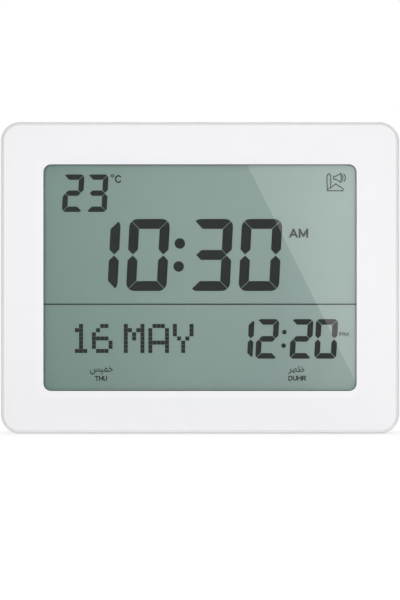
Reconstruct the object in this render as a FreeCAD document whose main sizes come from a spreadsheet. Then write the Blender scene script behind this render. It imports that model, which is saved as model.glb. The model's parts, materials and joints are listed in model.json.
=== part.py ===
"""Azan clock for a desk or a wall: a white two-shell case around a large segment display.

Millimetres. X runs to the right as seen from the front, Y from the front to the back, Z up.
The origin is the middle of the flat underside. The case is as large as its window and border ask,
and as deep as the display, the board, the cells and the door stacked behind each other.
"""

import FreeCAD, Part
import math
import os
import re

import Sketcher

SIZES = {
    # window and case
    "window_width": 181.0,
    "window_height": 131.0,
    "window_corner": 4.5,
    "face_border": 24.5,
    "corner_radius": 11.0,
    "front_depth": 13.0,
    "side_wall": 2.2,
    "back_wall": 2.5,
    "front_edge_radius": 2.2,
    "back_edge_radius": 3.0,
    "slope_width": 4.0,
    "slope_depth": 0.4,
    "lip_height": 1.6,
    "lip_wall": 1.0,
    "lip_gap": 0.15,
    # lens and display, from the front backwards
    "rim_wall": 1.2,
    "tape_thickness": 0.2,
    "tape_shows": 0.4,
    "lens_thickness": 1.5,
    "lens_margin": 3.0,
    "lens_gap": 0.2,
    "seat_gap": 0.1,
    "cushion_thickness": 0.6,
    "cushion_margin": 2.5,
    "film_thickness": 0.2,
    "film_margin": 2.0,
    "glass_thickness": 1.1,
    "glass_margin": 6.0,
    "crystal_gap": 0.1,
    "mark_thickness": 0.1,
    "seal_width": 1.5,
    "contact_ledge": 4.0,
    "strip_width": 2.2,
    "strip_inset": 6.0,
    "frame_wall": 3.5,
    "frame_gap": 0.3,
    "frame_floor": 1.5,
    "film_gap": 0.1,
    "frame_rise": 1.5,
    # boards and their fixings
    "board_thickness": 1.6,
    "board_corner": 3.0,
    "board_end_gap": 8.5,
    "post_radius": 3.0,
    "post_gap": 1.2,
    "board_rim": 0.5,
    "board_screw_radius": 1.1,
    "board_screw_length": 5.0,
    "screw_head_radius": 2.3,
    "screw_head_height": 1.6,
    "screw_hole_gap": 0.3,
    "pilot_gap": 0.05,
    "works_gap": 1.3,
    # case screws
    "boss_radius": 4.4,
    "boss_inset": 10.0,
    "case_screw_radius": 1.4,
    "case_screw_length": 9.0,
    "case_head_radius": 2.8,
    "case_head_height": 2.2,
    "case_head_gap": 0.3,
    "screw_seat": 2.5,
    # stand leg
    "leg_width": 54.0,
    "leg_length": 70.0,
    "leg_thickness": 3.2,
    "leg_corner": 4.0,
    "leg_tip_height": 5.0,
    "leg_gap": 0.4,
    "leg_opening": 32.0,
    "leg_stop_gap": 0.15,
    "barrel_radius": 2.4,
    "barrel_side_gap": 0.2,
    "pin_radius": 1.0,
    "pin_gap": 0.05,
    "pin_seat": 4.0,
    "ear_width": 5.5,
    "ear_height": 8.0,
    "recess_wall": 1.6,
    "leg_notch_width": 18.0,
    "leg_notch_height": 7.0,
    "well_depth": 6.8,
    "well_margin": 2.0,
    "pad_thickness": 1.0,
    "pad_inset": 2.0,
    # cells, battery bay and door
    "cell_radius": 7.1,
    "cell_length": 50.0,
    "nub_radius": 2.7,
    "nub_height": 1.2,
    "cell_gap": 0.25,
    "contact_thickness": 0.4,
    "contact_size": 10.0,
    "spring_length": 4.6,
    "spring_radius": 3.4,
    "spring_wire": 0.35,
    "spring_seat": 0.05,
    "tab_width": 3.0,
    "tab_reach": 2.0,
    "bay_offset": 4.0,
    "bay_base": 20.0,
    "bay_wall": 1.6,
    "bay_floor_wall": 1.2,
    "door_thickness": 2.0,
    "door_ledge": 1.4,
    "door_gap": 0.3,
    "door_rest_gap": 0.1,
    "door_corner": 2.0,
    "bridge_wall": 0.9,
    "tongue_gap": 0.12,
    "tongue_width": 8.0,
    "tongue_thickness": 1.1,
    "tongue_pitch": 36.0,
    "tongue_reach": 1.2,
    "latch_width": 12.0,
    "latch_depth": 7.0,
    "latch_height": 7.0,
    "latch_wall": 1.0,
    "latch_gap": 0.4,
    "latch_slit": 1.9,
    "grip_width": 16.0,
    "grip_height": 1.2,
    "grip_pitch": 2.6,
    "grip_depth": 0.5,
    # rear keys and their switches
    "key_width": 12.0,
    "key_height": 7.0,
    "key_corner": 2.0,
    "key_pitch": 18.0,
    "key_row_inset": 30.0,
    "key_gap": 0.2,
    "key_sink": 0.2,
    "key_flange": 1.2,
    "key_travel": 0.6,
    "tray_depth": 1.2,
    "tray_margin": 3.5,
    "plunger_radius": 1.7,
    "plunger_gap": 0.1,
    "plunger_height": 2.8,
    "switch_width": 6.0,
    "switch_height": 3.5,
    "switch_floor": 0.8,
    "dome_gap": 0.05,
    "key_board_height": 14.0,
    "key_board_thickness": 1.2,
    "key_post_margin": 5.0,
    # sounder
    "speaker_radius": 25.0,
    "speaker_base": 62.0,
    "speaker_offset": 9.5,
    "gasket_thickness": 0.8,
    "gasket_width": 3.5,
    "flange_thickness": 0.8,
    "basket_depth": 5.5,
    "basket_wall": 0.7,
    "surround_width": 2.2,
    "cone_gap": 0.5,
    "cone_wall": 0.5,
    "cone_travel": 0.4,
    "coil_radius": 6.4,
    "coil_wall": 0.4,
    "coil_gap": 0.4,
    "magnet_radius": 11.0,
    "magnet_height": 4.0,
    "yoke_plate": 1.2,
    "washer_thickness": 0.6,
    "washer_radius": 4.2,
    "grille_hole_radius": 1.25,
    "grille_pitch": 5.4,
    # wall hangers and vents
    "hanger_pitch": 160.0,
    "hanger_inset": 32.0,
    "hanger_radius": 4.0,
    "hanger_slot_width": 4.4,
    "hanger_slot_length": 8.0,
    "vent_width": 12.0,
    "vent_height": 1.6,
    "vent_pitch": 3.6,
    "vent_across": 90.0,
    "vent_base": 108.0,
    # parts on the main board, and leads
    "chip_radius": 8.0,
    "chip_height": 1.6,
    "capacitor_radius": 4.0,
    "capacitor_height": 10.0,
    "crystal_radius": 1.5,
    "crystal_length": 8.0,
    "socket_width": 9.0,
    "socket_height": 4.5,
    "socket_depth": 4.5,
    "socket_base": 104.0,
    "lead_radius": 0.6,
    "ribbon_width": 14.0,
    "ribbon_thickness": 0.6,
    # display layout, measured from the window's lower left corner
    "slant": 0.052,
    "hairline": 0.25,
    "waist_gap": 0.28,
    "time_left": 19.2,
    "time_base": 57.8,
    "time_width": 23.4,
    "time_height": 41.7,
    "time_stroke": 5.75,
    "time_corner": 4.8,
    "time_pitch": 28.45,
    "time_minutes": 65.05,
    "time_colon": 58.2,
    "time_dot": 3.05,
    "time_dot_rise": 13.3,
    "prayer_left": 108.1,
    "prayer_base": 18.65,
    "prayer_width": 12.8,
    "prayer_height": 22.9,
    "prayer_stroke": 3.25,
    "prayer_corner": 2.5,
    "prayer_pitch": 14.3,
    "prayer_minutes": 34.1,
    "prayer_colon": 30.4,
    "prayer_dot": 1.35,
    "prayer_dot_rise": 7.8,
    "degree_left": 10.55,
    "degree_base": 103.55,
    "degree_width": 12.0,
    "degree_height": 21.7,
    "degree_stroke": 3.1,
    "degree_corner": 2.4,
    "degree_pitch": 13.95,
    "date_base": 21.95,
    "date_day": 18.1,
    "date_digit": 27.95,
    "date_month": 46.4,
    "date_letter_pitch": 14.2,
    "dot_pitch": 2.41,
    "dot_size": 2.32,
    "divider_base": 49.8,
    "divider_height": 0.72,
}

# Planes and positions worked out from the sizes, each named after what lies there.
PLACES = {
    "case_width": "window_width + 2 * face_border",
    "case_height": "window_height + 2 * face_border",
    "display_stack": "cushion_thickness + 2 * glass_thickness + crystal_gap + film_thickness + film_gap",
    "board_stack": "frame_floor + frame_rise + board_thickness + works_gap",
    "bay_stack": "bay_floor_wall + 2 * cell_radius + 2 * cell_gap + door_thickness",
    "face_wall": "rim_wall + tape_thickness + lens_thickness + seat_gap",
    "case_depth": "face_wall + display_stack + board_stack + bay_stack",
    "half_width": "case_width / 2",
    "middle": "case_height / 2",
    "front_face": "-case_depth / 2",
    "back_face": "case_depth / 2",
    "parting": "front_face + front_depth",
    "face_inside": "front_face + face_wall",
    "back_inside": "back_face - back_wall",
    "window_left": "-window_width / 2",
    "window_low": "face_border",
    "rim_back": "front_face + rim_wall",
    "lens_front": "rim_back + tape_thickness",
    "lens_back": "lens_front + lens_thickness",
    "glass_front": "face_inside + cushion_thickness",
    "marks_front": "glass_front - film_thickness - mark_thickness",
    "crystal_front": "glass_front + glass_thickness",
    "crystal_back": "crystal_front + crystal_gap",
    "glass_back": "crystal_back + glass_thickness",
    "reflector_back": "glass_back + film_thickness",
    "floor_front": "reflector_back + film_gap",
    "floor_back": "floor_front + frame_floor",
    "board_front": "floor_back + frame_rise",
    "board_back": "board_front + board_thickness",
    "frame_margin": "glass_margin + frame_gap + frame_wall",
    "post_x": "window_width / 2 + frame_margin + post_gap + post_radius",
    "post_rise": "window_height / 2 + glass_margin - contact_ledge",
    "board_half": "post_x + post_radius + board_rim",
    "board_half_height": "window_height / 2 + board_end_gap",
    "strip_z": "window_height / 2 + glass_margin - contact_ledge / 2",
    "boss_x": "half_width - boss_inset",
    "boss_low": "boss_inset",
    "boss_high": "case_height - boss_inset",
    "case_screw_seat": "parting + screw_seat",
    "leg_half": "leg_width / 2",
    "recess_half": "leg_half + leg_gap",
    "hinge_z": "leg_tip_height + leg_length",
    "hinge_y": "back_face - barrel_radius",
    "leg_inside": "back_face - leg_thickness",
    "recess_floor": "leg_inside - leg_gap",
    "channel_floor": "back_face - 2 * barrel_radius - leg_gap",
    "heel": "(barrel_radius + leg_gap - leg_stop_gap) / sin(leg_opening)",
    "heel_reach": "sqrt(heel^2 + barrel_radius^2)",
    "recess_top": "hinge_z + heel_reach + leg_gap",
    "recess_low": "leg_tip_height - leg_gap",
    "well_floor": "back_face - well_depth",
    "door_inside": "back_face - door_thickness",
    "cell_y": "door_inside - cell_gap - cell_radius",
    "bay_floor": "cell_y - cell_radius - cell_gap",
    "bay_front": "bay_floor - bay_floor_wall",
    "bay_left": "recess_half + ear_width + bay_offset + bay_wall",
    "bay_right": "bay_left + 2 * contact_thickness + spring_length + cell_length",
    "bay_mid": "(bay_left + bay_right) / 2",
    "bay_low": "bay_base",
    "cell_pitch": "2 * cell_radius + cell_gap",
    "bay_high": "bay_low + 3 * cell_pitch + cell_gap",
    "tongue_back": "back_face - sqrt((door_thickness + bridge_wall)^2 + door_ledge^2) - tongue_gap",
    "tongue_front": "tongue_back - tongue_thickness",
    "latch_floor": "back_face - latch_depth",
    "key_z": "case_height - key_row_inset",
    "tray_floor": "back_face - tray_depth",
    "key_face": "back_face - key_sink",
    "flange_back": "back_inside - key_gap",
    "flange_front": "flange_back - key_flange",
    "plunger_low": "flange_front - plunger_height",
    "switch_top": "plunger_low + key_travel * 2",
    "key_board_back": "switch_top - switch_height",
    "key_board_front": "key_board_back - key_board_thickness",
    "key_board_half": "2.5 * key_pitch + key_width / 2 + key_post_margin * 2",
    "key_post_x": "key_board_half - key_post_margin + 1",
    "speaker_x": "-(recess_half + ear_width + speaker_offset + speaker_radius)",
    "speaker_z": "speaker_base",
    "gasket_front": "back_inside - gasket_thickness",
    "flange_edge": "gasket_front - flange_thickness",
    "basket_front": "gasket_front - basket_depth",
    "magnet_front": "basket_front - magnet_height",
    "yoke_front": "magnet_front - yoke_plate",
    "speaker_post": "speaker_radius + washer_radius - 0.6",
    "hanger_x": "hanger_pitch / 2",
    "hanger_z": "case_height - hanger_inset",
}

# Which strokes each digit lights: a top, b and c right, d bottom, e and f left, g across the middle.
LIT = {"0": "abcdef", "1": "bc", "2": "abged", "3": "abgcd"}

# Rows of the 5 by 7 dot letters, from the top.
DOT_ROWS = {
    "1": [".#.", "##.", ".#.", ".#.", ".#.", ".#.", "###"],
    "6": ["..##.", ".#...", "#....", "####.", "#...#", "#...#", ".###."],
    "M": ["#...#", "##.##", "#.#.#", "#.#.#", "#...#", "#...#", "#...#"],
    "A": [".###.", "#...#", "#...#", "#...#", "#####", "#...#", "#...#"],
    "Y": ["#...#", "#...#", "#...#", ".#.#.", "..#..", "..#..", "..#.."],
}

KEY_NAMES = ["mode", "set", "down", "up", "volume", "azan"]
CELL_COUNT = 3
GRILLE_RINGS = 4
VENT_COUNT = 4
GRIP_COUNT = 3
SPRING_TURNS = 4
RUNS_PER_TURN = 10

doc = FreeCAD.newDocument("AzanClock")
sheet = doc.addObject("Spreadsheet::Sheet", "Sizes")
pieces = []


def fill_sheet():
    """Writes each driving size beside its name."""
    for row, (alias, value) in enumerate(SIZES.items(), 1):
        sheet.set(f"A{row}", alias)
        sheet.set(f"B{row}", str(value))
        sheet.setAlias(f"B{row}", alias)
    doc.recompute()


def expression(text):
    """The text with each place spelled out in sizes, and each size read from the sheet."""

    def spell(match):
        word = match.group()
        if word in PLACES:
            return f"({expression(PLACES[word])})"
        return f"Sizes.{word}" if word in SIZES else word

    return re.sub(r"[a-z][a-z_]*", spell, str(text))


def number(text):
    """What the text comes to, in millimetres."""
    return float(sheet.evalExpression(expression(text)))


def bind(thing, values):
    """Ties each property of a thing to the sheet."""
    for name, text in values.items():
        thing.setExpression(name, expression(text))


def keep(name, thing):
    """Names the finished piece, which names its file."""
    thing.Label = name
    pieces.append(thing)
    return thing


# Outlines for sketches. Each returns a function that draws itself in a sketch.


def tie_point(sketch, element, end, across, up):
    """Holds a point of the sketch at a place measured from the origin."""
    for kind, text in (("DistanceX", across), ("DistanceY", up)):
        index = sketch.addConstraint(Sketcher.Constraint(kind, -1, 1, element, end, number(text)))
        sketch.setExpression(f"Constraints[{index}]", expression(text))


def rectangle(across, up):
    """A sharp rectangle between two places each way."""

    def draw(sketch):
        left, right = map(number, across)
        low, high = map(number, up)
        corners = [(left, low), (right, low), (right, high), (left, high)]
        points = [FreeCAD.Vector(x, z, 0) for x, z in corners]
        sides = [
            sketch.addGeometry(Part.LineSegment(points[i], points[(i + 1) % 4]), False)
            for i in range(4)
        ]
        for i in range(4):
            sketch.addConstraint(Sketcher.Constraint("Coincident", sides[i], 2, sides[(i + 1) % 4], 1))
            kind = "Vertical" if i % 2 else "Horizontal"
            sketch.addConstraint(Sketcher.Constraint(kind, sides[i]))
        tie_point(sketch, sides[0], 1, across[0], up[0])
        tie_point(sketch, sides[2], 1, across[1], up[1])

    return draw


def rounded(across, up, radius):
    """A rectangle with round corners between two places each way."""

    def draw(sketch):
        left, right = map(number, across)
        low, high = map(number, up)
        bend = number(radius)
        turns = [(right, low), (right, high), (left, high), (left, low)]
        into = [(1, 0), (0, 1), (-1, 0), (0, -1)]
        arcs = []
        for i, (x, z) in enumerate(turns):
            out = into[(i + 1) % 4]
            centre = FreeCAD.Vector(x - bend * (into[i][0] - out[0]), z - bend * (into[i][1] - out[1]), 0)
            circle = Part.Circle(centre, FreeCAD.Vector(0, 0, 1), bend)
            start = math.radians(90 * i - 90)
            arcs.append(sketch.addGeometry(Part.ArcOfCircle(circle, start, start + math.pi / 2), False))
        lines = []
        for i in range(4):
            before, after = sketch.Geometry[arcs[i - 1]], sketch.Geometry[arcs[i]]
            lines.append(sketch.addGeometry(Part.LineSegment(before.EndPoint, after.StartPoint), False))
        for i in range(4):
            sketch.addConstraint(Sketcher.Constraint("Tangent", arcs[i - 1], 2, lines[i], 1))
            sketch.addConstraint(Sketcher.Constraint("Tangent", lines[i], 2, arcs[i], 1))
            kind = "Vertical" if i % 2 else "Horizontal"
            sketch.addConstraint(Sketcher.Constraint(kind, lines[i]))
            if i:
                sketch.addConstraint(Sketcher.Constraint("Equal", arcs[0], arcs[i]))
        index = sketch.addConstraint(Sketcher.Constraint("Radius", arcs[0], bend))
        sketch.setExpression(f"Constraints[{index}]", expression(radius))
        edges = [("DistanceY", 0, up[0]), ("DistanceX", 1, across[1])]
        edges += [("DistanceY", 2, up[1]), ("DistanceX", 3, across[0])]
        for kind, line, text in edges:
            rule = Sketcher.Constraint(kind, -1, 1, lines[line], 1, number(text))
            index = sketch.addConstraint(rule)
            sketch.setExpression(f"Constraints[{index}]", expression(text))

    return draw


def discs(centres, radius):
    """Circles of one radius at several places."""

    def draw(sketch):
        for across, up in centres:
            centre = FreeCAD.Vector(number(across), number(up), 0)
            circle = Part.Circle(centre, FreeCAD.Vector(0, 0, 1), number(radius))
            element = sketch.addGeometry(circle, False)
            tie_point(sketch, element, 3, across, up)
            index = sketch.addConstraint(Sketcher.Constraint("Radius", element, number(radius)))
            sketch.setExpression(f"Constraints[{index}]", expression(radius))

    return draw


def about(middle, half):
    """A span of a half width each side of a middle."""
    return (f"{middle} - ({half})", f"{middle} + ({half})")


def window_outline(grow, radius):
    """The window's outline grown by a margin on every side."""
    across = about("0", f"window_width / 2 + {grow}")
    return rounded(across, about("middle", f"window_height / 2 + {grow}"), radius)


def case_outline(inset, radius):
    """The case's outline drawn in by an inset on every side."""
    across = about("0", f"half_width - ({inset})")
    return rounded(across, about("middle", f"middle - ({inset})"), radius)


class Moulding:
    """A body built up and cut back between planes across its depth, or along the width."""

    def __init__(self, name):
        self.body = doc.addObject("PartDesign::Body", name)
        self.name = name
        self.volume = 0.0

    def sketch(self, shapes, at, plane):
        """Outlines drawn in one plane across the depth (XZ) or across the width (YZ)."""
        drawing = self.body.newObject("Sketcher::SketchObject", f"{self.name}_outline")
        origin = self.body.Origin.OriginFeatures
        drawing.AttachmentSupport = [(next(o for o in origin if o.Role == plane), "")]
        drawing.MapMode = "FlatFace"
        away = f"-({at})" if plane == "XZ_Plane" else at
        drawing.setExpression(".AttachmentOffset.Base.z", expression(away))
        for shape in shapes:
            shape(drawing)
        return drawing

    def step(self, kind, shapes, span, plane):
        """One pad or pocket from the low plane to the high one, checked to change the solid."""
        low, high = span
        feature_sketch = self.sketch(shapes, low, plane)
        feature = self.body.newObject(f"PartDesign::{kind}", f"{self.name}_{kind.lower()}")
        feature.Profile = feature_sketch
        feature.Reversed = (kind == "Pad") == (plane == "XZ_Plane")
        feature.Refine = kind == "Pad"
        feature.setExpression("Length", expression(f"({high}) - ({low})"))
        doc.recompute()
        before, self.volume = self.volume, self.body.Shape.Volume
        if (self.volume - before) * (1 if kind == "Pad" else -1) <= 0:
            raise RuntimeError(f"{self.name}: a {kind} from {low} to {high} changed nothing")
        return feature

    def add(self, shapes, span, plane="XZ_Plane"):
        return self.step("Pad", shapes, span, plane)

    def cut(self, shapes, span, plane="XZ_Plane"):
        return self.step("Pocket", shapes, span, plane)

    def round_edges(self, at, radius):
        """Rounds every edge that lies in one plane across the depth."""
        tip, level = self.body.Tip, number(at)
        names = [
            f"Edge{i}"
            for i, edge in enumerate(tip.Shape.Edges, 1)
            if abs(edge.BoundBox.YMin - level) < 1e-4 and abs(edge.BoundBox.YMax - level) < 1e-4
        ]
        fillet = self.body.newObject("PartDesign::Fillet", f"{self.name}_edge")
        fillet.Base = (tip, names)
        fillet.setExpression("Radius", expression(radius))
        doc.recompute()
        return fillet

    def slope(self, outer, inner, span):
        """Cuts a shallow funnel from an outer outline to an inner one."""
        mouth, throat = self.sketch([outer], span[0], "XZ_Plane"), self.sketch([inner], span[1], "XZ_Plane")
        loft = self.body.newObject("PartDesign::SubtractiveLoft", f"{self.name}_slope")
        loft.Profile = mouth
        loft.Sections = [throat]
        loft.Ruled = True
        doc.recompute()
        return loft

    def ring(self, feature, count):
        """Repeats a feature evenly about the sketch's own normal through its origin."""
        pattern = self.body.newObject("PartDesign::PolarPattern", f"{self.name}_ring")
        pattern.Originals = [feature]
        pattern.Axis = (feature.Profile[0], ["N_Axis"])
        pattern.Angle = 360
        pattern.Occurrences = count
        self.body.Tip = pattern
        doc.recompute()
        return pattern

    def done(self, name=None):
        return keep(name or self.name, self.body)


# Solids placed by their planes.


def block(name, across, deep, up):
    """A plain block between two places each way."""
    box = doc.addObject("Part::Box", name)
    spans = {"Length": across, "Width": deep, "Height": up}
    for (length, (low, high)), axis in zip(spans.items(), "xyz"):
        bind(box, {length: f"({high}) - ({low})", f".Placement.Base.{axis}": low})
    return box


TURN_TO_Y = FreeCAD.Rotation(FreeCAD.Vector(1, 0, 0), -90)
TURN_TO_X = FreeCAD.Rotation(FreeCAD.Vector(0, 1, 0), 90)


def set_upright(thing, along, span, centre):
    """Turns a round solid from +Z onto the depth or the width, and puts its foot in place."""
    first, second = centre
    if along == "y":
        thing.Placement = FreeCAD.Placement(FreeCAD.Vector(), TURN_TO_Y)
        places = (first, span[0], second)
    else:
        thing.Placement = FreeCAD.Placement(FreeCAD.Vector(), TURN_TO_X)
        places = (span[0], first, second)
    bind(thing, {f".Placement.Base.{axis}": text for axis, text in zip("xyz", places)})
    return thing


def rod(name, along, radius, centre, span):
    """A cylinder along the depth or the width. Its centre is the other two places."""
    cylinder = doc.addObject("Part::Cylinder", name)
    bind(cylinder, {"Radius": radius, "Height": f"({span[1]}) - ({span[0]})"})
    return set_upright(cylinder, along, span, centre)


def taper(name, radii, centre, span):
    """A cone along the depth, from one radius at the low plane to another at the high one."""
    cone = doc.addObject("Part::Cone", name)
    bind(cone, {"Radius1": radii[0], "Radius2": radii[1], "Height": f"({span[1]}) - ({span[0]})"})
    return set_upright(cone, "y", span, centre)


def cut(name, base, *tools):
    """The base with each tool taken away."""
    result = base
    for tool in tools:
        step = doc.addObject("Part::Cut", f"{name}_cut")
        step.Base, step.Tool = result, tool
        result = step
    return result


def fuse(name, *parts):
    """Parts joined into one solid."""
    joined = doc.addObject("Part::MultiFuse", f"{name}_joined")
    joined.Shapes = list(parts)
    joined.Refine = True
    return joined


def group(name, parts):
    """Like pieces that share a node, as separate solids."""
    together = doc.addObject("Part::Compound", name)
    together.Links = list(parts)
    return keep(name, together)


def plate(name, outline, span):
    """A flat sheet of one outline."""
    sheet_body = Moulding(name)
    sheet_body.add([outline], span)
    return sheet_body.done()


# Case.

CORNERS = [(f"{side}boss_x", level) for side in ("-", "") for level in ("boss_low", "boss_high")]
BOARD_POSTS = [
    (f"{side}post_x", f"middle {rise}")
    for side in ("-", "")
    for rise in ("- post_rise", "+ 0", "+ post_rise")
]
KEY_POSTS = [(f"{side}key_post_x", "key_z") for side in ("-", "")]
SPEAKER_POSTS = [
    (f"speaker_x + speaker_post * cos({angle})", f"speaker_z + speaker_post * sin({angle})")
    for angle in (90, 210, 330)
]


def make_front_bezel():
    """The white front shell: window with its shallow slope, lens seat, bosses and board posts."""
    shell = Moulding("front_bezel")
    inside = "corner_radius - side_wall"
    rebate = "side_wall - lip_wall - lip_gap"
    shell.add([case_outline("0", "corner_radius")], ("front_face", "parting"))
    shell.round_edges("front_face", "front_edge_radius")
    shell.cut([case_outline("side_wall", inside)], ("face_inside", "parting"))
    lip = ("parting - lip_height - lip_gap", "parting")
    shell.cut([case_outline(rebate, f"corner_radius - ({rebate})")], lip)
    seat = window_outline("lens_margin + lens_gap", "window_corner + lens_margin + lens_gap")
    shell.cut([seat], ("rim_back", "face_inside"))
    shell.cut([window_outline("0", "window_corner")], ("front_face", "rim_back"))
    mouth = window_outline("slope_width", "window_corner + slope_width")
    shell.slope(mouth, window_outline("0", "window_corner"), ("front_face", "front_face + slope_depth"))
    shell.add([discs(CORNERS, "boss_radius")], ("face_inside", "parting"))
    shell.add([discs(BOARD_POSTS, "post_radius")], ("face_inside", "board_front"))
    depth = ("case_screw_seat - case_screw_length - 1", "parting")
    shell.cut([discs(CORNERS, "case_screw_radius + pilot_gap")], depth)
    depth = ("board_back - board_screw_length - 0.5", "board_front")
    shell.cut([discs(BOARD_POSTS, "board_screw_radius + pilot_gap")], depth)
    return shell.done()


def leg_recess(cover):
    """The hollow that the folded leg lies in, its hinge channel, pin seats and finger well."""
    outer = about("0", "recess_half + recess_wall")
    top = "recess_top + recess_wall"
    cover.add([rectangle(outer, ("recess_low - recess_wall", top))], ("recess_floor - recess_wall", "back_inside"))
    channel_low = "hinge_z - barrel_radius - leg_gap"
    cover.add(
        [rectangle(outer, (f"{channel_low} - recess_wall", top))],
        ("channel_floor - recess_wall", "recess_floor - recess_wall"),
    )
    ears = [
        rectangle(span, about("hinge_z", "ear_height / 2"))
        for span in (
            ("recess_half + recess_wall", "recess_half + ear_width"),
            ("-(recess_half + ear_width)", "-(recess_half + recess_wall)"),
        )
    ]
    cover.add(ears, ("channel_floor - recess_wall", "back_inside"))
    well = about("0", "leg_notch_width / 2 + well_margin")
    well_top = "leg_tip_height + leg_notch_height + well_margin * 2"
    backing = about("0", "leg_notch_width / 2 + well_margin + recess_wall")
    cover.add(
        [rectangle(backing, ("recess_low - recess_wall", f"{well_top} + recess_wall"))],
        ("well_floor - recess_wall", "recess_floor - recess_wall"),
    )
    recess = rounded(about("0", "recess_half"), ("recess_low", "recess_top"), "leg_corner")
    cover.cut([recess], ("recess_floor", "back_face"))
    cover.cut(
        [rectangle(about("0", "recess_half"), (channel_low, "recess_top - leg_corner"))],
        ("channel_floor", "recess_floor"),
    )
    cover.cut(
        [rounded(about("0", "recess_half"), ("hinge_z - leg_corner", "recess_top"), "leg_corner")],
        ("channel_floor", "recess_floor"),
    )
    cover.cut([rectangle(well, ("recess_low", well_top))], ("well_floor", "recess_floor"))
    span = about("0", "recess_half + pin_seat")
    cover.cut([discs([("hinge_y", "hinge_z")], "pin_radius")], span, "YZ_Plane")


def battery_bay(cover):
    """The box that holds the cells, with the door's rebate, tongue slots, latch well and tab slots."""
    latch_half = "latch_width / 2 + latch_gap"
    wide = ("bay_left - bay_wall", "bay_right + bay_wall")
    tall = ("bay_low - bay_wall", "bay_high + bay_wall")
    cover.add([rectangle(wide, tall)], ("bay_front", "back_inside"))
    backing = rectangle(
        about("bay_mid", f"{latch_half} + bay_wall"), ("bay_high + bay_wall", "bay_high + latch_height + bay_wall")
    )
    cover.add([backing], ("latch_floor - bay_wall", "back_inside"))
    cover.cut([rectangle(("bay_left", "bay_right"), ("bay_low", "bay_high"))], ("bay_floor", "back_face"))
    rebate = rounded(
        ("bay_left - door_ledge", "bay_right + door_ledge"),
        ("bay_low - door_ledge", "bay_high + door_ledge"),
        "door_corner",
    )
    cover.cut([rebate], ("door_inside", "back_face"))
    well = rectangle(about("bay_mid", latch_half), ("bay_high", "bay_high + latch_height"))
    cover.cut([well], ("latch_floor", "back_face"))
    slots = [
        rectangle(
            about(f"bay_mid {side} tongue_pitch / 2", "tongue_width / 2 + door_gap"),
            ("bay_low - bay_wall", "bay_low"),
        )
        for side in "-+"
    ]
    cover.cut(slots, ("tongue_front - door_gap", "door_inside - bridge_wall"))
    tabs = [
        rectangle(("bay_left - bay_wall", "bay_left"), about(cell_z(0), "contact_thickness")),
        rectangle(("bay_right", "bay_right + bay_wall"), about(cell_z(CELL_COUNT - 1), "contact_thickness")),
    ]
    cover.cut(tabs, about("cell_y", "tab_width / 2 + cell_gap"))


def key_tray(cover):
    """The shallow tray that the keys stand in, their holes and the key board's two posts."""
    tray = rounded(
        about("0", "2.5 * key_pitch + key_width / 2 + tray_margin"),
        about("key_z", "key_height / 2 + tray_margin"),
        "key_corner + tray_margin",
    )
    cover.cut([tray], ("tray_floor", "back_face"))
    holes = [
        rounded(
            about(key_x(i), "key_width / 2 + key_gap"),
            about("key_z", "key_height / 2 + key_gap"),
            "key_corner + key_gap",
        )
        for i in range(len(KEY_NAMES))
    ]
    cover.cut(holes, ("back_inside", "tray_floor"))
    cover.add([discs(KEY_POSTS, "post_radius")], ("key_board_back", "back_inside"))
    depth = ("key_board_back", "key_board_front + board_screw_length + 0.5")
    cover.cut([discs(KEY_POSTS, "board_screw_radius + pilot_gap")], depth)


def speaker_seat(cover):
    """The grille's rings of holes and the three posts that clamp the sounder."""
    cover.add([discs(SPEAKER_POSTS, "post_radius")], ("flange_edge", "back_inside"))
    depth = ("flange_edge", "flange_edge - washer_thickness + board_screw_length - 1.2")
    cover.cut([discs(SPEAKER_POSTS, "board_screw_radius + pilot_gap")], depth)
    holes = [("speaker_x", "speaker_z")]
    holes += [
        (
            f"speaker_x + {ring} * grille_pitch * cos({360 * i / (6 * ring)})",
            f"speaker_z + {ring} * grille_pitch * sin({360 * i / (6 * ring)})",
        )
        for ring in range(1, GRILLE_RINGS + 1)
        for i in range(6 * ring)
    ]
    cover.cut([discs(holes, "grille_hole_radius")], ("back_inside", "back_face"))


def hangers_and_vents(cover):
    """Two keyholes for wall screws, and the slots that let room air reach the sensor."""
    for side in ("-", ""):
        centre = f"{side}hanger_x"
        cover.cut([discs([(centre, "hanger_z")], "hanger_radius")], ("back_inside", "back_face"))
        slot = rounded(
            about(centre, "hanger_slot_width / 2"),
            ("hanger_z - hanger_slot_width / 2", "hanger_z + hanger_slot_length + hanger_slot_width / 2"),
            "hanger_slot_width / 2.01",
        )
        cover.cut([slot], ("back_inside", "back_face"))
    slots = [
        rounded(
            about("-vent_across", "vent_width / 2"),
            about(f"vent_base + {i} * vent_pitch", "vent_height / 2"),
            "vent_height / 2.01",
        )
        for i in range(VENT_COUNT)
    ]
    cover.cut(slots, ("back_inside", "back_face"))


def make_rear_cover():
    """The rear shell with everything that is moulded into it."""
    cover = Moulding("rear_cover")
    cover.add([case_outline("0", "corner_radius")], ("parting", "back_face"))
    cover.round_edges("back_face", "back_edge_radius")
    cover.cut([case_outline("side_wall", "corner_radius - side_wall")], ("parting", "back_inside"))
    lip = [
        case_outline("side_wall - lip_wall", "corner_radius - side_wall + lip_wall"),
        case_outline("side_wall", "corner_radius - side_wall"),
    ]
    cover.add(lip, ("parting - lip_height", "parting + lip_height"))
    cover.add([discs(CORNERS, "boss_radius")], ("parting", "back_inside"))
    cover.cut([discs(CORNERS, "case_head_radius + case_head_gap")], ("case_screw_seat", "back_face"))
    cover.cut([discs(CORNERS, "case_screw_radius + screw_hole_gap")], ("parting", "case_screw_seat"))
    hangers_and_vents(cover)
    leg_recess(cover)
    key_tray(cover)
    battery_bay(cover)
    speaker_seat(cover)
    return cover.done()


# Lens and display.


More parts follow.
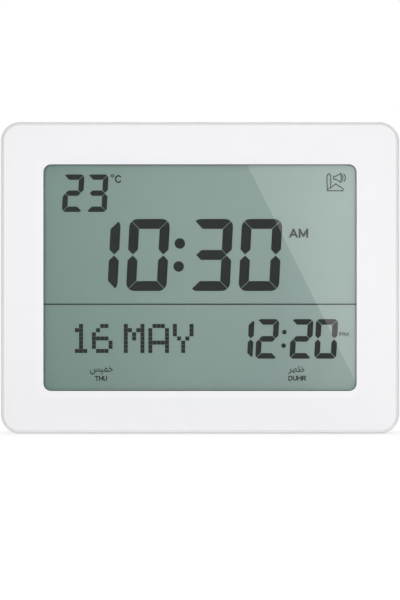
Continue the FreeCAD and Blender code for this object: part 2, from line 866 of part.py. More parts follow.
def make_display():
    """Everything behind the window, from the lens to the moulded frame that holds the glass."""
    lens = window_outline("lens_margin", "window_corner + lens_margin")
    plate("display_lens", lens, ("lens_front", "lens_back"))
    tape = Moulding("lens_tape")
    tape.add([lens, window_outline("-tape_shows", "window_corner - tape_shows")], ("rim_back", "lens_front"))
    tape.done()
    wide = about("0", "window_width / 2 + glass_margin")
    glass = rectangle(wide, about("middle", "window_height / 2 + glass_margin"))
    short = about("middle", "window_height / 2 + glass_margin - contact_ledge")
    film_wide = about("0", "window_width / 2 + film_margin")
    film = rectangle(film_wide, about("middle", "window_height / 2 + film_margin"))
    cushion = Moulding("display_cushion")
    opening = rectangle(
        about("0", "window_width / 2 + cushion_margin"), about("middle", "window_height / 2 + cushion_margin")
    )
    cushion.add([glass, opening], ("face_inside", "glass_front"))
    cushion.done()
    plate("front_polariser", film, ("glass_front - film_thickness", "glass_front"))
    plate("front_glass", glass, ("glass_front", "crystal_front"))
    seal = Moulding("glass_seal")
    seal_inside = rectangle(
        about("0", "window_width / 2 + glass_margin - seal_width"),
        about("middle", "window_height / 2 + glass_margin - contact_ledge - seal_width"),
    )
    seal.add([rectangle(wide, short), seal_inside], ("crystal_front", "crystal_back"))
    seal.done()
    plate("rear_glass", rectangle(wide, short), ("crystal_back", "glass_back"))
    plate("reflector_film", rectangle(film_wide, short), ("glass_back", "reflector_back"))
    make_display_frame()


def strip_spans():
    """The two conductive strips' widths and heights, at the bottom and the top of the glass."""
    wide = about("0", "window_width / 2 + glass_margin - strip_inset")
    return [(wide, about(f"middle {side} strip_z", "strip_width / 2")) for side in "-+"]


def make_display_frame():
    """The moulded frame round the glass, and the strips that join glass and board through it."""
    frame = Moulding("display_frame")
    outer = about("0", "window_width / 2 + frame_margin")
    frame.add(
        [rounded(outer, about("middle", "window_height / 2 + frame_margin"), "board_corner")],
        ("face_inside", "board_front"),
    )
    pocket = rectangle(
        about("0", "window_width / 2 + glass_margin + frame_gap"),
        about("middle", "window_height / 2 + glass_margin + frame_gap"),
    )
    frame.cut([pocket], ("face_inside", "floor_front"))
    frame.cut([pocket], ("floor_back", "board_front"))
    slots = [
        rectangle(
            (f"{wide[0]} - frame_gap", f"{wide[1]} + frame_gap"),
            (f"{tall[0]} - frame_gap", f"{tall[1]} + frame_gap"),
        )
        for wide, tall in strip_spans()
    ]
    frame.cut(slots, ("floor_front", "floor_back"))
    frame.done()
    strips = [
        block("contact_strip", wide, ("crystal_front", "board_front"), tall) for wide, tall in strip_spans()
    ]
    group("contact_strips", strips)


# What the display shows, as thin solids on the front polariser.


def lean(x, z, base):
    """A point of the display, leaned over as the digits are."""
    return FreeCAD.Vector(x + number("slant") * (z - base), number("marks_front"), z)


def film_solid(edges):
    """A closed outline as thick as the display's marks."""
    face = Part.Face(Part.Wire(edges))
    return face.extrude(FreeCAD.Vector(0, number("mark_thickness"), 0))


def digit_strokes(digit, left, base, style):
    """The lit strokes of one seven-stroke digit, with round outer corners and mitred joints."""
    wide, high, thick, bend = (number(f"{style}_{part}") for part in ("width", "height", "stroke", "corner"))
    split = number("hairline") / math.sqrt(2)
    waist = number("waist_gap")
    turn = math.asin(split / (bend * math.sqrt(2)))

    def on_corner(angle):
        return bend - bend * math.cos(angle), bend - bend * math.sin(angle)

    def solid(points, arc, across, along):
        """Points from a top left corner, flipped across or along the digit. The first arc is round."""
        placed = [
            lean(
                left + (wide - u if across else u),
                base + (v if along else high - v),
                base,
            )
            for u, v in points
        ]
        edges = []
        i = 0
        while i < len(placed):
            after = placed[(i + 1) % len(placed)]
            if i in arc:
                last = placed[(i + 2) % len(placed)]
                edges.append(Part.Arc(placed[i], after, last).toShape())
                i += 2
            else:
                edges.append(Part.LineSegment(placed[i], after).toShape())
                i += 1
        return film_solid(edges)

    def flat_stroke(along):
        start, end = math.pi / 4 + turn, math.pi / 2
        bends = [on_corner(start), on_corner((start + end) / 2), on_corner(end)]
        mirror = [(wide - u, v) for u, v in reversed(bends)]
        inner = [(wide - thick - split, thick), (thick + split, thick)]
        return solid(bends + mirror + inner, (0, 3), False, along)

    def upright(across, along):
        start, end = 0.0, math.pi / 4 - turn
        bends = [on_corner(start), on_corner((start + end) / 2), on_corner(end)]
        inner = [(thick, thick + split), (thick, high / 2 - waist - thick / 2)]
        tip = [(thick / 2, high / 2 - waist), (0, high / 2 - waist - thick / 2)]
        return solid(bends + inner + tip, (0,), across, along)

    def middle_stroke():
        tip = thick / 2 + number("hairline") * math.sqrt(2) - waist
        shoulder = tip + thick / 2
        above, below = high / 2 - thick / 2, high / 2 + thick / 2
        points = [(tip, high / 2), (shoulder, above), (wide - shoulder, above)]
        points += [(wide - tip, high / 2), (wide - shoulder, below), (shoulder, below)]
        return solid(points, (), False, False)

    makers = {
        "a": lambda: flat_stroke(False),
        "b": lambda: upright(True, False),
        "c": lambda: upright(True, True),
        "d": lambda: flat_stroke(True),
        "e": lambda: upright(False, True),
        "f": lambda: upright(False, False),
        "g": middle_stroke,
    }
    return [makers[stroke]() for stroke in LIT[digit]]


def round_dot(x, z, base, radius):
    circle = Part.Circle(lean(x, z, base), FreeCAD.Vector(0, 1, 0), radius)
    return film_solid([circle.toShape()])


def clock_reading(digits, style):
    """Two digits, a colon and two digits."""
    left = number(f"window_left + {style}_left")
    base = number(f"window_low + {style}_base")
    pitch, minutes = number(f"{style}_pitch"), number(f"{style}_minutes")
    solids = []
    for i, digit in enumerate(digits):
        x = left + (i % 2) * pitch + (i // 2) * minutes
        solids += digit_strokes(digit, x, base, style)
    middle = base + number(f"{style}_height") / 2
    gap = number(f"{style}_dot_rise") / 2
    for z in (middle - gap, middle + gap):
        solids.append(round_dot(left + number(f"{style}_colon"), z, base, number(f"{style}_dot")))
    return solids


def dot_letter(letter, left):
    """One letter of square dots."""
    base, pitch, size = number("window_low + date_base"), number("dot_pitch"), number("dot_size")
    front, deep = number("marks_front"), number("mark_thickness")
    rows = DOT_ROWS[letter]
    return [
        Part.makeBox(size, deep, size, FreeCAD.Vector(left + column * pitch, front, base + row * pitch))
        for row, line in enumerate(reversed(rows))
        for column, mark in enumerate(line)
        if mark == "#"
    ]


def make_display_marks():
    """The lit strokes: the time, the next prayer's time, the temperature, the date and the divider."""
    left = number("window_left")
    solids = clock_reading("1030", "time") + clock_reading("1220", "prayer")
    degree_left, degree_base = number("window_left + degree_left"), number("window_low + degree_base")
    for i, digit in enumerate("23"):
        solids += digit_strokes(digit, degree_left + i * number("degree_pitch"), degree_base, "degree")
    solids += dot_letter("1", left + number("date_day")) + dot_letter("6", left + number("date_digit"))
    for i, letter in enumerate("MAY"):
        solids += dot_letter(letter, left + number("date_month") + i * number("date_letter_pitch"))
    corner = FreeCAD.Vector(left, number("marks_front"), number("window_low + divider_base"))
    solids.append(Part.makeBox(-2 * left, number("mark_thickness"), number("divider_height"), corner))
    marks = doc.addObject("Part::Feature", "display_marks")
    marks.Shape = Part.makeCompound(solids)
    keep("display_marks", marks)


# Boards, their parts and the fixings.


def make_boards():
    """The main board with its parts, and the small board behind the keys."""
    board = Moulding("main_board")
    outline = rounded(about("0", "board_half"), about("middle", "board_half_height"), "board_corner")
    board.add([outline], ("board_front", "board_back"))
    board.cut([discs(BOARD_POSTS, "board_screw_radius + screw_hole_gap")], ("board_front", "board_back"))
    board.done()
    strip = Moulding("key_board")
    outline = rectangle(about("0", "key_board_half"), about("key_z", "key_board_height / 2"))
    strip.add([outline], ("key_board_front", "key_board_back"))
    holes = [discs(KEY_POSTS, "board_screw_radius + screw_hole_gap")]
    strip.cut(holes, ("key_board_front", "key_board_back"))
    strip.done()
    on_board = ("board_back", "board_back + chip_height")
    keep("controller_chip", taper("controller_chip", ("chip_radius", "chip_radius * 0.8"), ("0", "middle + 22"), on_board))
    crystal = ("board_back + crystal_radius", "middle + 8")
    ends = ("chip_radius + 6", "chip_radius + 6 + crystal_length")
    keep("quartz_crystal", rod("quartz_crystal", "x", "crystal_radius", crystal, ends))
    tall = ("board_back", "board_back + capacitor_height")
    group(
        "capacitors",
        [
            rod("capacitor", "y", "capacitor_radius", (f"-post_x + {across}", "middle + 40"), tall)
            for across in (22, 34)
        ],
    )
    amplifier = block(
        "amplifier_chip", about("speaker_x + 22", "3.2"), ("board_back", "board_back + chip_height"), about("middle + 24", "4.4")
    )
    keep("amplifier_chip", amplifier)
    make_sensor()


def make_sensor():
    """The bead that feels the room's temperature, on two wires behind the vents."""
    place = "vent_base + vent_pitch * 1.5"
    wires = [
        rod("sensor_wire", "y", "lead_radius / 2", (f"-vent_across {side} 1.2", place), ("board_back", "board_back + 7"))
        for side in "-+"
    ]
    bead = rod("sensor_bead", "y", "2.2", ("-vent_across", place), ("board_back + 6.5", "board_back + 9.5"))
    keep("temperature_sensor", fuse("temperature_sensor", bead, *wires))


def screw(name, centre, seat, way, size):
    """A pan-head screw with a cross recess. Its head stands towards the back (+1) or the front (-1)."""
    radius, length, head_radius, head = size
    toward = "+" if way > 0 else "-"
    away = "-" if way > 0 else "+"

    def span(low, high):
        return (low, high) if way > 0 else (high, low)

    top = f"{seat} {toward} {head}"
    shank = rod(name, "y", radius, centre, span(f"{seat} {away} {length}", seat))
    cap = rod(name, "y", head_radius, centre, span(seat, top))
    deep = span(f"{top} {away} {head} * 0.55", top)
    long_half, thin_half = f"{head_radius} * 0.55", f"{head_radius} * 0.13"
    bars = [
        block(name, about(centre[0], across), deep, about(centre[1], up))
        for across, up in ((long_half, thin_half), (thin_half, long_half))
    ]
    return cut(name, fuse(name, shank, cap), *bars)


def make_screws():
    """Case screws from the back, and the short screws that hold the boards and the sounder."""
    big = ("case_screw_radius", "case_screw_length", "case_head_radius", "case_head_height")
    group("case_screws", [screw("case_screw", corner, "case_screw_seat", 1, big) for corner in CORNERS])
    small = ("board_screw_radius", "board_screw_length", "screw_head_radius", "screw_head_height")
    shorter = ("board_screw_radius", "(board_screw_length - 1.5)", "screw_head_radius", "screw_head_height")
    group("board_screws", [screw("board_screw", post, "board_back", 1, small) for post in BOARD_POSTS])
    group("key_board_screws", [screw("key_board_screw", post, "key_board_front", -1, small) for post in KEY_POSTS])
    washers = [
        cut(
            "speaker_washer",
            rod("speaker_washer", "y", "washer_radius", post, ("flange_edge - washer_thickness", "flange_edge")),
            rod(
                "washer_hole",
                "y",
                "board_screw_radius + screw_hole_gap",
                post,
                ("flange_edge - washer_thickness", "flange_edge"),
            ),
        )
        for post in SPEAKER_POSTS
    ]
    group("speaker_washers", washers)
    group(
        "speaker_screws",
        [screw("speaker_screw", post, "(flange_edge - washer_thickness)", -1, shorter) for post in SPEAKER_POSTS],
    )


# Sounder.


def make_speaker():
    """The sounder, facing the grille: gasket, basket, surround, cone with its coil, magnet and yoke."""
    centre = ("speaker_x", "speaker_z")

    def ring(name, outer, inner, span):
        disc = rod(f"{name}_disc", "y", outer, centre, span)
        return cut(name, disc, rod(f"{name}_hole", "y", inner, centre, span))

    inner = "speaker_radius - gasket_width"
    keep("speaker_gasket", ring("speaker_gasket", "speaker_radius", inner, ("gasket_front", "back_inside")))
    flange = ("flange_edge", "gasket_front")
    wall = ("basket_front", "flange_edge")
    throat = "magnet_radius + basket_wall"
    cup = cut(
        "speaker_basket",
        taper("basket_cone", (throat, inner), centre, wall),
        taper("basket_hollow", (f"{throat} - basket_wall", f"{inner} - basket_wall"), centre, wall),
    )
    seat = ring("basket_flange", "speaker_radius", f"{inner} - basket_wall", flange)
    floor = ring("basket_floor", throat, "coil_radius + coil_gap", ("basket_front - basket_wall", "basket_front"))
    keep("speaker_basket", fuse("speaker_basket", cup, seat, floor))
    surround_inner = f"{inner} - basket_wall - surround_width"
    roll = ("flange_edge + 0.2", "gasket_front")
    keep("speaker_surround", ring("speaker_surround", f"{inner} - basket_wall", surround_inner, roll))
    rim = f"{surround_inner} - cone_gap"
    cone_low, cone_high = "basket_front + cone_travel + basket_wall", "flange_edge + 0.6"
    cone = cut(
        "cone_paper",
        taper("cone_outside", ("coil_radius", rim), centre, (cone_low, cone_high)),
        taper("cone_inside", ("coil_radius - cone_wall", f"{rim} - cone_wall"), centre, (f"{cone_low} + cone_wall", f"{cone_high} + 0.01")),
    )
    former = ring(
        "coil_former", "coil_radius", "coil_radius - coil_wall", ("magnet_front + cone_travel + coil_gap", f"{cone_low} + cone_wall")
    )
    keep("speaker_cone", fuse("speaker_cone", cone, former))
    magnet_span = ("magnet_front", "basket_front - basket_wall")
    keep("speaker_magnet", ring("speaker_magnet", "magnet_radius", "coil_radius + coil_gap", magnet_span))
    pole = rod(
        "yoke_pole", "y", "coil_radius - coil_wall - coil_gap", centre, ("magnet_front", "basket_front - basket_wall")
    )
    plate_part = rod("yoke_plate", "y", "magnet_radius", centre, ("yoke_front", "magnet_front"))
    keep("speaker_yoke", fuse("speaker_yoke", plate_part, pole))


# Cells and contacts.


def cell_z(i):
    """Height of one cell's axis, counted from the bottom of the bay."""
    return f"(bay_low + cell_gap + cell_radius + {i} * cell_pitch)"


def coil_spring(start, way):
    """A steel coil of short straight runs along the width, from one end wall towards its cell."""
    wire, radius = number("spring_wire"), number("spring_radius")
    length = number("spring_length") - 2 * wire - 2 * number("spring_seat")
    runs = SPRING_TURNS * RUNS_PER_TURN
    foot = start + FreeCAD.Vector(way * (wire + number("spring_seat")), 0, 0)
    points = []
    for i in range(runs + 1):
        turn = 2 * math.pi * i / RUNS_PER_TURN
        across = FreeCAD.Vector(way * length * i / runs, radius * math.cos(turn), radius * math.sin(turn))
        points.append(foot + across)
    section = Part.Circle(points[0], points[1] - points[0], wire)
    mitred = 1
    return Part.makePolygon(points).makePipeShell([Part.Wire(section.toShape())], True, False, mitred)


def make_cells():
    """Three cells end for end, with a spring and a flat contact for each."""
    cells, contacts, springs = [], [], []
    deep = about("cell_y", "contact_size / 2")
    for i in range(CELL_COUNT):
        to_right = i % 2 == 0
        up = about(cell_z(i), "contact_size / 2")
        left = ("bay_left", "bay_left + contact_thickness")
        right = ("bay_right - contact_thickness", "bay_right")
        ends = [block("contact", left, deep, up), block("contact", right, deep, up)]
        tab_deep, thin = about("cell_y", "tab_width / 2"), about(cell_z(i), "contact_thickness / 2")
        if i == 0:
            tab = block("tab", ("bay_left - bay_wall - tab_reach", "bay_left"), tab_deep, thin)
            ends[0] = fuse("contact", ends[0], tab)
        if i == CELL_COUNT - 1:
            tab = block("tab", ("bay_right", "bay_right + bay_wall + tab_reach"), tab_deep, thin)
            ends[1] = fuse("contact", ends[1], tab)
        contacts += ends
        flat = "contact_thickness + spring_length"
        low, high = (f"bay_left + {flat}", "bay_right - contact_thickness - nub_height")
        nub = (high, "bay_right - contact_thickness")
        if not to_right:
            low, high = ("bay_left + contact_thickness + nub_height", f"bay_right - ({flat})")
            nub = ("bay_left + contact_thickness", low)
        axis = ("cell_y", cell_z(i))
        case = rod("cell", "x", "cell_radius", axis, (low, high))
        cells.append(fuse("cell", case, rod("nub", "x", "nub_radius", axis, nub)))
        wall = number("bay_left + contact_thickness" if to_right else "bay_right - contact_thickness")
        start = FreeCAD.Vector(wall, number("cell_y"), number(cell_z(i)))
        springs.append(coil_spring(start, 1 if to_right else -1))
    group("cells", cells)
    group("battery_contacts", contacts)
    coils = doc.addObject("Part::Feature", "battery_springs")
    coils.Shape = Part.makeCompound(springs)
    keep("battery_springs", coils)


def make_battery_door():
    """The door, with two tongues that hook its foot and a sprung latch at its top."""
    door = Moulding("battery_door")
    inset = "door_ledge - door_gap"
    outline = rounded(
        (f"bay_left - ({inset})", f"bay_right + {inset}"), (f"bay_low - ({inset})", f"bay_high + {inset}"), "door_corner - door_gap"
    )
    inner_face = "door_inside + door_rest_gap"
    door.add([outline], (inner_face, "back_face"))
    feet = [about(f"bay_mid {side} tongue_pitch / 2", "tongue_width / 2") for side in "-+"]
    stems = [rectangle(foot, ("bay_low + door_gap", "bay_low + door_gap + tongue_thickness")) for foot in feet]
    door.add(stems, ("tongue_front", inner_face))
    tips = [rectangle(foot, ("bay_low - tongue_reach", "bay_low + door_gap")) for foot in feet]
    door.add(tips, ("tongue_front", "tongue_back"))
    latch = about("bay_mid", "latch_width / 2")
    low = "bay_high + 0.1"
    bend = "latch_floor + latch_gap"
    outer = f"{low} + latch_wall + latch_slit"
    door.add([rectangle(latch, (low, f"{low} + latch_wall"))], (bend, inner_face))
    door.add([rectangle(latch, (f"{low} + latch_wall", f"{outer} + latch_wall"))], (bend, f"{bend} + latch_wall"))
    door.add([rectangle(latch, (outer, f"{outer} + latch_wall"))], (f"{bend} + latch_wall", "back_face"))
    pad = rectangle(latch, (f"{outer} + latch_wall", "bay_high + latch_height - latch_gap"))
    door.add([pad], ("back_face - latch_wall * 1.2", "back_face"))
    grips = [
        rectangle(about("bay_mid", "grip_width / 2"), about(f"bay_high - 4 - {i} * grip_pitch", "grip_height / 2"))
        for i in range(GRIP_COUNT)
    ]
    door.cut(grips, ("back_face - grip_depth", "back_face"))
    return door.done()


# Stand leg.


def make_stand_leg():
    """The fold-out leg with its hinge barrel and heel, the pin it turns on and its rubber pads."""
    leg = Moulding("stand_leg")
    tip = "leg_tip_height + pad_thickness"
    outline = rounded(about("0", "leg_half"), (tip, "hinge_z + heel"), "leg_corner - leg_gap")
    leg.add([outline], ("hinge_y", "back_face"))
    blade = rounded(about("0", "leg_half"), (tip, "hinge_z"), "leg_corner - leg_gap")
    leg.add([blade], ("leg_inside", "hinge_y"))
    barrel = about("0", "leg_half")
    leg.add([discs([("hinge_y", "hinge_z")], "barrel_radius")], barrel, "YZ_Plane")
    notch = rounded(
        about("0", "leg_notch_width / 2"), ("leg_tip_height - leg_notch_height", "leg_tip_height + leg_notch_height"), "leg_corner"
    )
    leg.cut([notch], ("leg_inside", "back_face"))
    leg.cut([discs([("hinge_y", "hinge_z")], "pin_radius + pin_gap")], barrel, "YZ_Plane")
    leg.done()
    ends = about("0", "recess_half + pin_seat - pin_gap")
    keep("hinge_pin", rod("hinge_pin", "x", "pin_radius - 0.01", ("hinge_y", "hinge_z"), ends))
    inner, outer = "leg_notch_width / 2 + pad_inset", "leg_half - leg_corner - pad_inset / 2"
    pads = [
        block("leg_pad", span, ("leg_inside", "back_face"), ("leg_tip_height", tip))
        for span in ((inner, outer), (f"-({outer})", f"-({inner})"))
    ]
    group("leg_pads", pads)


# Keys.


def key_x(i):
    """Where one key stands along the row, counted from the left as seen from the front."""
    return f"({i - 2.5}) * key_pitch"


def make_keys():
    """Six key caps, each on the plunger of its own switch."""
    switches, domes = [], []
    for i, name in enumerate(KEY_NAMES):
        cap = Moulding(f"{name}_key")
        flange = rounded(
            about(key_x(i), "key_width / 2 + key_flange"), about("key_z", "key_height / 2 + key_flange"), "key_corner"
        )
        cap.add([flange], ("flange_front", "flange_back"))
        top = rounded(about(key_x(i), "key_width / 2"), about("key_z", "key_height / 2"), "key_corner")
        cap.add([top], ("flange_back", "key_face"))
        cap.round_edges("key_face", "key_sink * 2")
        cap.done()
        centre = (key_x(i), "key_z")
        span = ("plunger_low", "flange_front")
        keep(f"{name}_plunger", rod(f"{name}_plunger", "y", "plunger_radius", centre, span))
        half = "switch_width / 2"
        body = block("switch", about(key_x(i), half), ("key_board_back", "switch_top"), about("key_z", half))
        bore = ("key_board_back + switch_floor", "switch_top")
        switches.append(cut("switch", body, rod("switch_bore", "y", "plunger_radius + plunger_gap", centre, bore)))
        dome_span = (bore[0], "plunger_low - key_travel - dome_gap")
        domes.append(taper("dome", ("plunger_radius - plunger_gap", "plunger_radius / 2"), centre, dome_span))
    group("key_switches", switches)
    group("switch_domes", domes)


# Leads.


def route(points):
    """Straight runs joined by arcs that touch both, as large as the runs allow."""
    edges, start = [], points[0]
    for before, point, after in zip(points, points[1:], points[2:]):
        into, out = before - point, after - point
        shorter = min(into.Length, out.Length)
        turn = math.pi - into.getAngle(out)
        radius = 0.45 * shorter / math.tan(turn / 2)
        back = radius * math.tan(turn / 2)
        into.normalize()
        out.normalize()
        first, last = point + into * back, point + out * back
        half = into + out
        half.normalize()
        centre = point + half * (radius / math.cos(turn / 2))
        edges.append(Part.LineSegment(start, first).toShape())
        edges.append(Part.Arc(first, centre - half * radius, last).toShape())
        start = last
    edges.append(Part.LineSegment(start, points[-1]).toShape())
    return Part.Wire(edges)


def lead(points):
    """A round lead along a route."""
    path = route(points)
    way = points[1] - points[0]
    circle = Part.Circle(points[0], way, number("lead_radius"))
    return path.makePipeShell([Part.Wire(circle.toShape())], True, False)


def make_leads():
    """The leads from the cells and the sounder to their sockets, and the key board's ribbon."""
    board, radius = number("board_back"), number("lead_radius")
    entry = board + number("socket_depth") / 2
    low = number("socket_base")
    side = number("bay_left - bay_wall - tab_reach / 2")
    far = number("bay_right + bay_wall + tab_reach / 2")
    cell_plane = number("cell_y")
    tab_top = number("contact_thickness / 2")
    first, last = number(cell_z(0)) + tab_top, number(cell_z(CELL_COUNT - 1)) + tab_top
    above = number("bay_high + bay_wall + latch_height + 4")
    point = FreeCAD.Vector
    near_route = [
        point(side, cell_plane, first),
        point(side, cell_plane, low - 18),
        point(side, entry, low - 8),
        point(side, entry, low),
    ]
    inward = side + 3 * radius + 1
    far_route = [
        point(far, cell_plane, last),
        point(far, cell_plane, above),
        point(inward + 18, cell_plane, above + 6),
        point(inward, (cell_plane + entry) / 2, above + 12),
        point(inward, entry, low - 8),
        point(inward, entry, low),
    ]
    add_shape("battery_leads", [lead(near_route), lead(far_route)])
    terminal = number("speaker_z") + number("magnet_radius")
    terminal_y = number("magnet_front") + number("magnet_height") / 2
    speaker_leads = []
    for shift in (-1.5, 1.5):
        x = number("speaker_x") + shift
        up = math.sqrt(number("magnet_radius") ** 2 - shift**2) - number("magnet_radius") + terminal
        points = [
            point(x, terminal_y, up + 0.2),
            point(x, terminal_y, up + 8),
            point(x, entry, low - 10),
            point(x, entry, low),
        ]
        speaker_leads.append(lead(points))
    add_shape("speaker_leads", speaker_leads)
    sockets = [
        block("socket", about(f"{x}", "socket_width / 2"), ("board_back", "board_back + socket_depth"), ("socket_base", "socket_base + socket_height"))
        for x in ("bay_left - bay_wall - tab_reach / 2 + lead_radius + 1", "speaker_x")
    ]
    group("wire_sockets", sockets)
    make_ribbon()


def make_ribbon():
    """The flat ribbon that bends from the main board up to the lower edge of the key board."""
    half, thick = number("ribbon_width / 2"), number("ribbon_thickness")
    board, key_plane = number("board_back"), number("key_board_front")
    top = number("key_z - key_board_height / 2")
    points = [
        FreeCAD.Vector(0, board, top - 9),
        FreeCAD.Vector(0, key_plane - thick / 2, top - 9),
        FreeCAD.Vector(0, key_plane - thick / 2, top + 5),
    ]
    path = route(points)
    corners = [(-half, -thick / 2), (half, -thick / 2), (half, thick / 2), (-half, thick / 2)]
    loop = [points[0] + FreeCAD.Vector(x, 0, z) for x, z in corners]
    section = Part.makePolygon(loop + loop[:1])
    add_shape("key_ribbon", [path.makePipeShell([section], True, False)])


def add_shape(name, solids):
    """A node whose solids are worked out here."""
    thing = doc.addObject("Part::Feature", name)
    thing.Shape = Part.makeCompound(solids) if len(solids) > 1 else solids[0]
    return keep(name, thing)


def check_and_write():
    """Stops on a failed object or a bad shape, then writes each piece to its own file."""
    doc.recompute()
    for thing in doc.Objects:
        if {"Invalid", "Error"} & set(thing.State):
            raise RuntimeError(f"{thing.Label} is {thing.State}")
    os.makedirs("parts", exist_ok=True)
    for piece in pieces:
        shape = piece.Shape
        if shape.isNull() or not shape.isValid() or not shape.Solids:
            raise RuntimeError(f"{piece.Label} has no valid solid")
    for piece in pieces:
        piece.Shape.exportStep(f"parts/{piece.Label}.step")
    print(f"{len(pieces)} pieces, {sum(len(p.Shape.Solids) for p in pieces)} solids")


fill_sheet()
make_front_bezel()
make_rear_cover()
make_display()
make_display_marks()
make_boards()
make_keys()
make_screws()
make_speaker()
make_cells()
make_battery_door()
make_stand_leg()
make_leads()
check_and_write()
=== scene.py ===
"""Looks of the azan clock: a white desk clock with a large grey-green segment display."""

import json
import math

import bmesh
import bpy
from mathutils import Matrix, Vector


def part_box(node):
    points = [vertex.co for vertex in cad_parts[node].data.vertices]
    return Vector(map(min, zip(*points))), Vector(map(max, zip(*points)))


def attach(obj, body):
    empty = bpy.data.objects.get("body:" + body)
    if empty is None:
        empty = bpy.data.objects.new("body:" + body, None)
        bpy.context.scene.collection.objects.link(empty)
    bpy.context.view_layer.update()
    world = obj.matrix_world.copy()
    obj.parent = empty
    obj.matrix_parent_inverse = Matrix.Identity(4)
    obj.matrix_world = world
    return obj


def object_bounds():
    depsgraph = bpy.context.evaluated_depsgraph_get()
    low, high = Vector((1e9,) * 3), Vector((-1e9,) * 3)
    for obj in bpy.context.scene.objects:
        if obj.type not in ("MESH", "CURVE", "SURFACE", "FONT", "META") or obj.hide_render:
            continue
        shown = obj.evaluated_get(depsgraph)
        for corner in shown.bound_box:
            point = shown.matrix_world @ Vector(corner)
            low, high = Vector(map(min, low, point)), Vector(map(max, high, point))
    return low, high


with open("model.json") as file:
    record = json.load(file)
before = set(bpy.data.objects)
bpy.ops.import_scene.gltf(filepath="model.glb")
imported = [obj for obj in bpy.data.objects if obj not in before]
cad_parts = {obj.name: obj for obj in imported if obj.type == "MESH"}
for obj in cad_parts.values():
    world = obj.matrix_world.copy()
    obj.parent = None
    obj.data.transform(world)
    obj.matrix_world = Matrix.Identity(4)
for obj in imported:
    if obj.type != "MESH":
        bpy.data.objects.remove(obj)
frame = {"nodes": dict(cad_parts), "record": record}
bpy.context.scene.view_settings.view_transform = "Standard"
cad_low, cad_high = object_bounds()
nodes = frame["nodes"]

MM = 0.001
PHOTO_WIDTH = 0.2310  # width of what the photograph shows, at the clock's front face
PHOTO_ASPECT = 600 / 400
CAMERA_DISTANCE = 1.5
CAMERA_HEIGHT = 0.0771  # the photograph's middle lies this far above the clock's underside
SENSOR = 36.0

FACE = cad_low.y
BACK = cad_high.y
CASE_MIDDLE = (cad_low.z + cad_high.z) / 2
CASE_CORNER = 11 * MM

LENS_LOW, LENS_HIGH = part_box("display_lens")
LENS_MARGIN = 3.0 * MM  # how far the lens reaches past the window on each side
WINDOW = (LENS_HIGH.x - LENS_MARGIN, (LENS_HIGH.z - LENS_LOW.z) / 2 - LENS_MARGIN)  # half width, half height
WINDOW_CORNER = 4.5 * MM
MARKS_LOW, MARKS_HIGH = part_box("display_marks")
WINDOW_LOW = Vector((-WINDOW[0], MARKS_LOW.y, CASE_MIDDLE - WINDOW[1]))

DOOR_LOW, DOOR_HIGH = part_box("battery_door")
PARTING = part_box("front_bezel")[1].y  # where the front and rear shells meet
SEAM_HALF = 0.12 * MM
SEAM_SHADE = (0.42, 0.42, 0.425)
SOUNDER_X = sum(corner.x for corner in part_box("speaker_leads")) / 2


# Camera, light and floor.


def make_camera():
    """A long lens straight in front, at the height that frames the clock as the photograph does."""
    data = bpy.data.cameras.new("camera")
    data.sensor_width = SENSOR
    data.lens = SENSOR * CAMERA_DISTANCE / (PHOTO_WIDTH * PHOTO_ASPECT)
    camera = bpy.data.objects.new("camera", data)
    camera.location = (0, FACE - CAMERA_DISTANCE, CAMERA_HEIGHT)
    camera.rotation_euler = (math.pi / 2, 0, 0)
    bpy.context.scene.collection.objects.link(camera)
    bpy.context.scene.camera = camera


make_camera()


CASE_CENTRE = (0, 0, CASE_MIDDLE)
# Each lamp: name, place, target, width and height, watts, and whether glossy things mirror it.
LAMPS = [
    ("softbox_front", (0, -2.4, 0.35), CASE_CENTRE, (2.2, 1.6), 44, False),
    ("softbox_low", (0, -0.28, 0.02), (0, FACE, 0.02), (0.5, 0.03), 0.13, False),
    ("softbox_top", (0, -0.2, 1.8), CASE_CENTRE, (1.6, 1.6), 3, True),
    ("softbox_back", (0.6, 2.1, 1.3), CASE_CENTRE, (2.2, 1.6), 36, True),
]
WHITE = (1, 1, 1, 1)
ROOM_COLOUR, ROOM_STRENGTH = (0.985, 0.985, 1, 1), 0.33
FLOOR_REACH = 6.0
FLOOR_DROP = 0.2 * MM  # keeps the floor clear of the clock's underside
FLOOR_COLOUR = (0.92, 0.92, 0.92, 1)
FLOOR_GLOSS, FLOOR_ROUGHNESS = (0.05, 0.05, 0.05, 1), 0.18
SHADE_REACH = 0.06  # how far from the clock the floor's painted shadow reaches
SHADE_DARKEST, SHADE_PALEST = 0.8, 0.985

CARD_BEHIND = 1.5  # distance of the mirrored card behind the camera
CARD_STRENGTH = 1.3
CARD_HIGH, CARD_LOW, CARD_RIGHT = 3.0, -0.9, 3.0  # the card's ends, in shares of the window
GLARE_TOP, GLARE_SIDE = (0.643, 1.02), (0.997, 0.04)  # two points of the glare's edge, also in shares


def add_node(tree, kind, **inputs):
    """A shader node, with some of its inputs set by name."""
    node = tree.nodes.new(f"ShaderNode{kind}")
    for name, value in inputs.items():
        node.inputs[name.replace("_", " ")].default_value = value
    return node


def emptied(holder):
    """The node tree of a material or world, with nothing in it."""
    holder.use_nodes = True
    holder.node_tree.nodes.clear()
    return holder.node_tree


def mix_by(tree, share, first, second, out):
    """Two shaders mixed by a share, as the tree's result."""
    mix = add_node(tree, "MixShader")
    tree.links.new(share, mix.inputs[0])
    tree.links.new(first.outputs[0], mix.inputs[1])
    tree.links.new(second.outputs[0], mix.inputs[2])
    tree.links.new(mix.outputs[0], out.inputs[0])


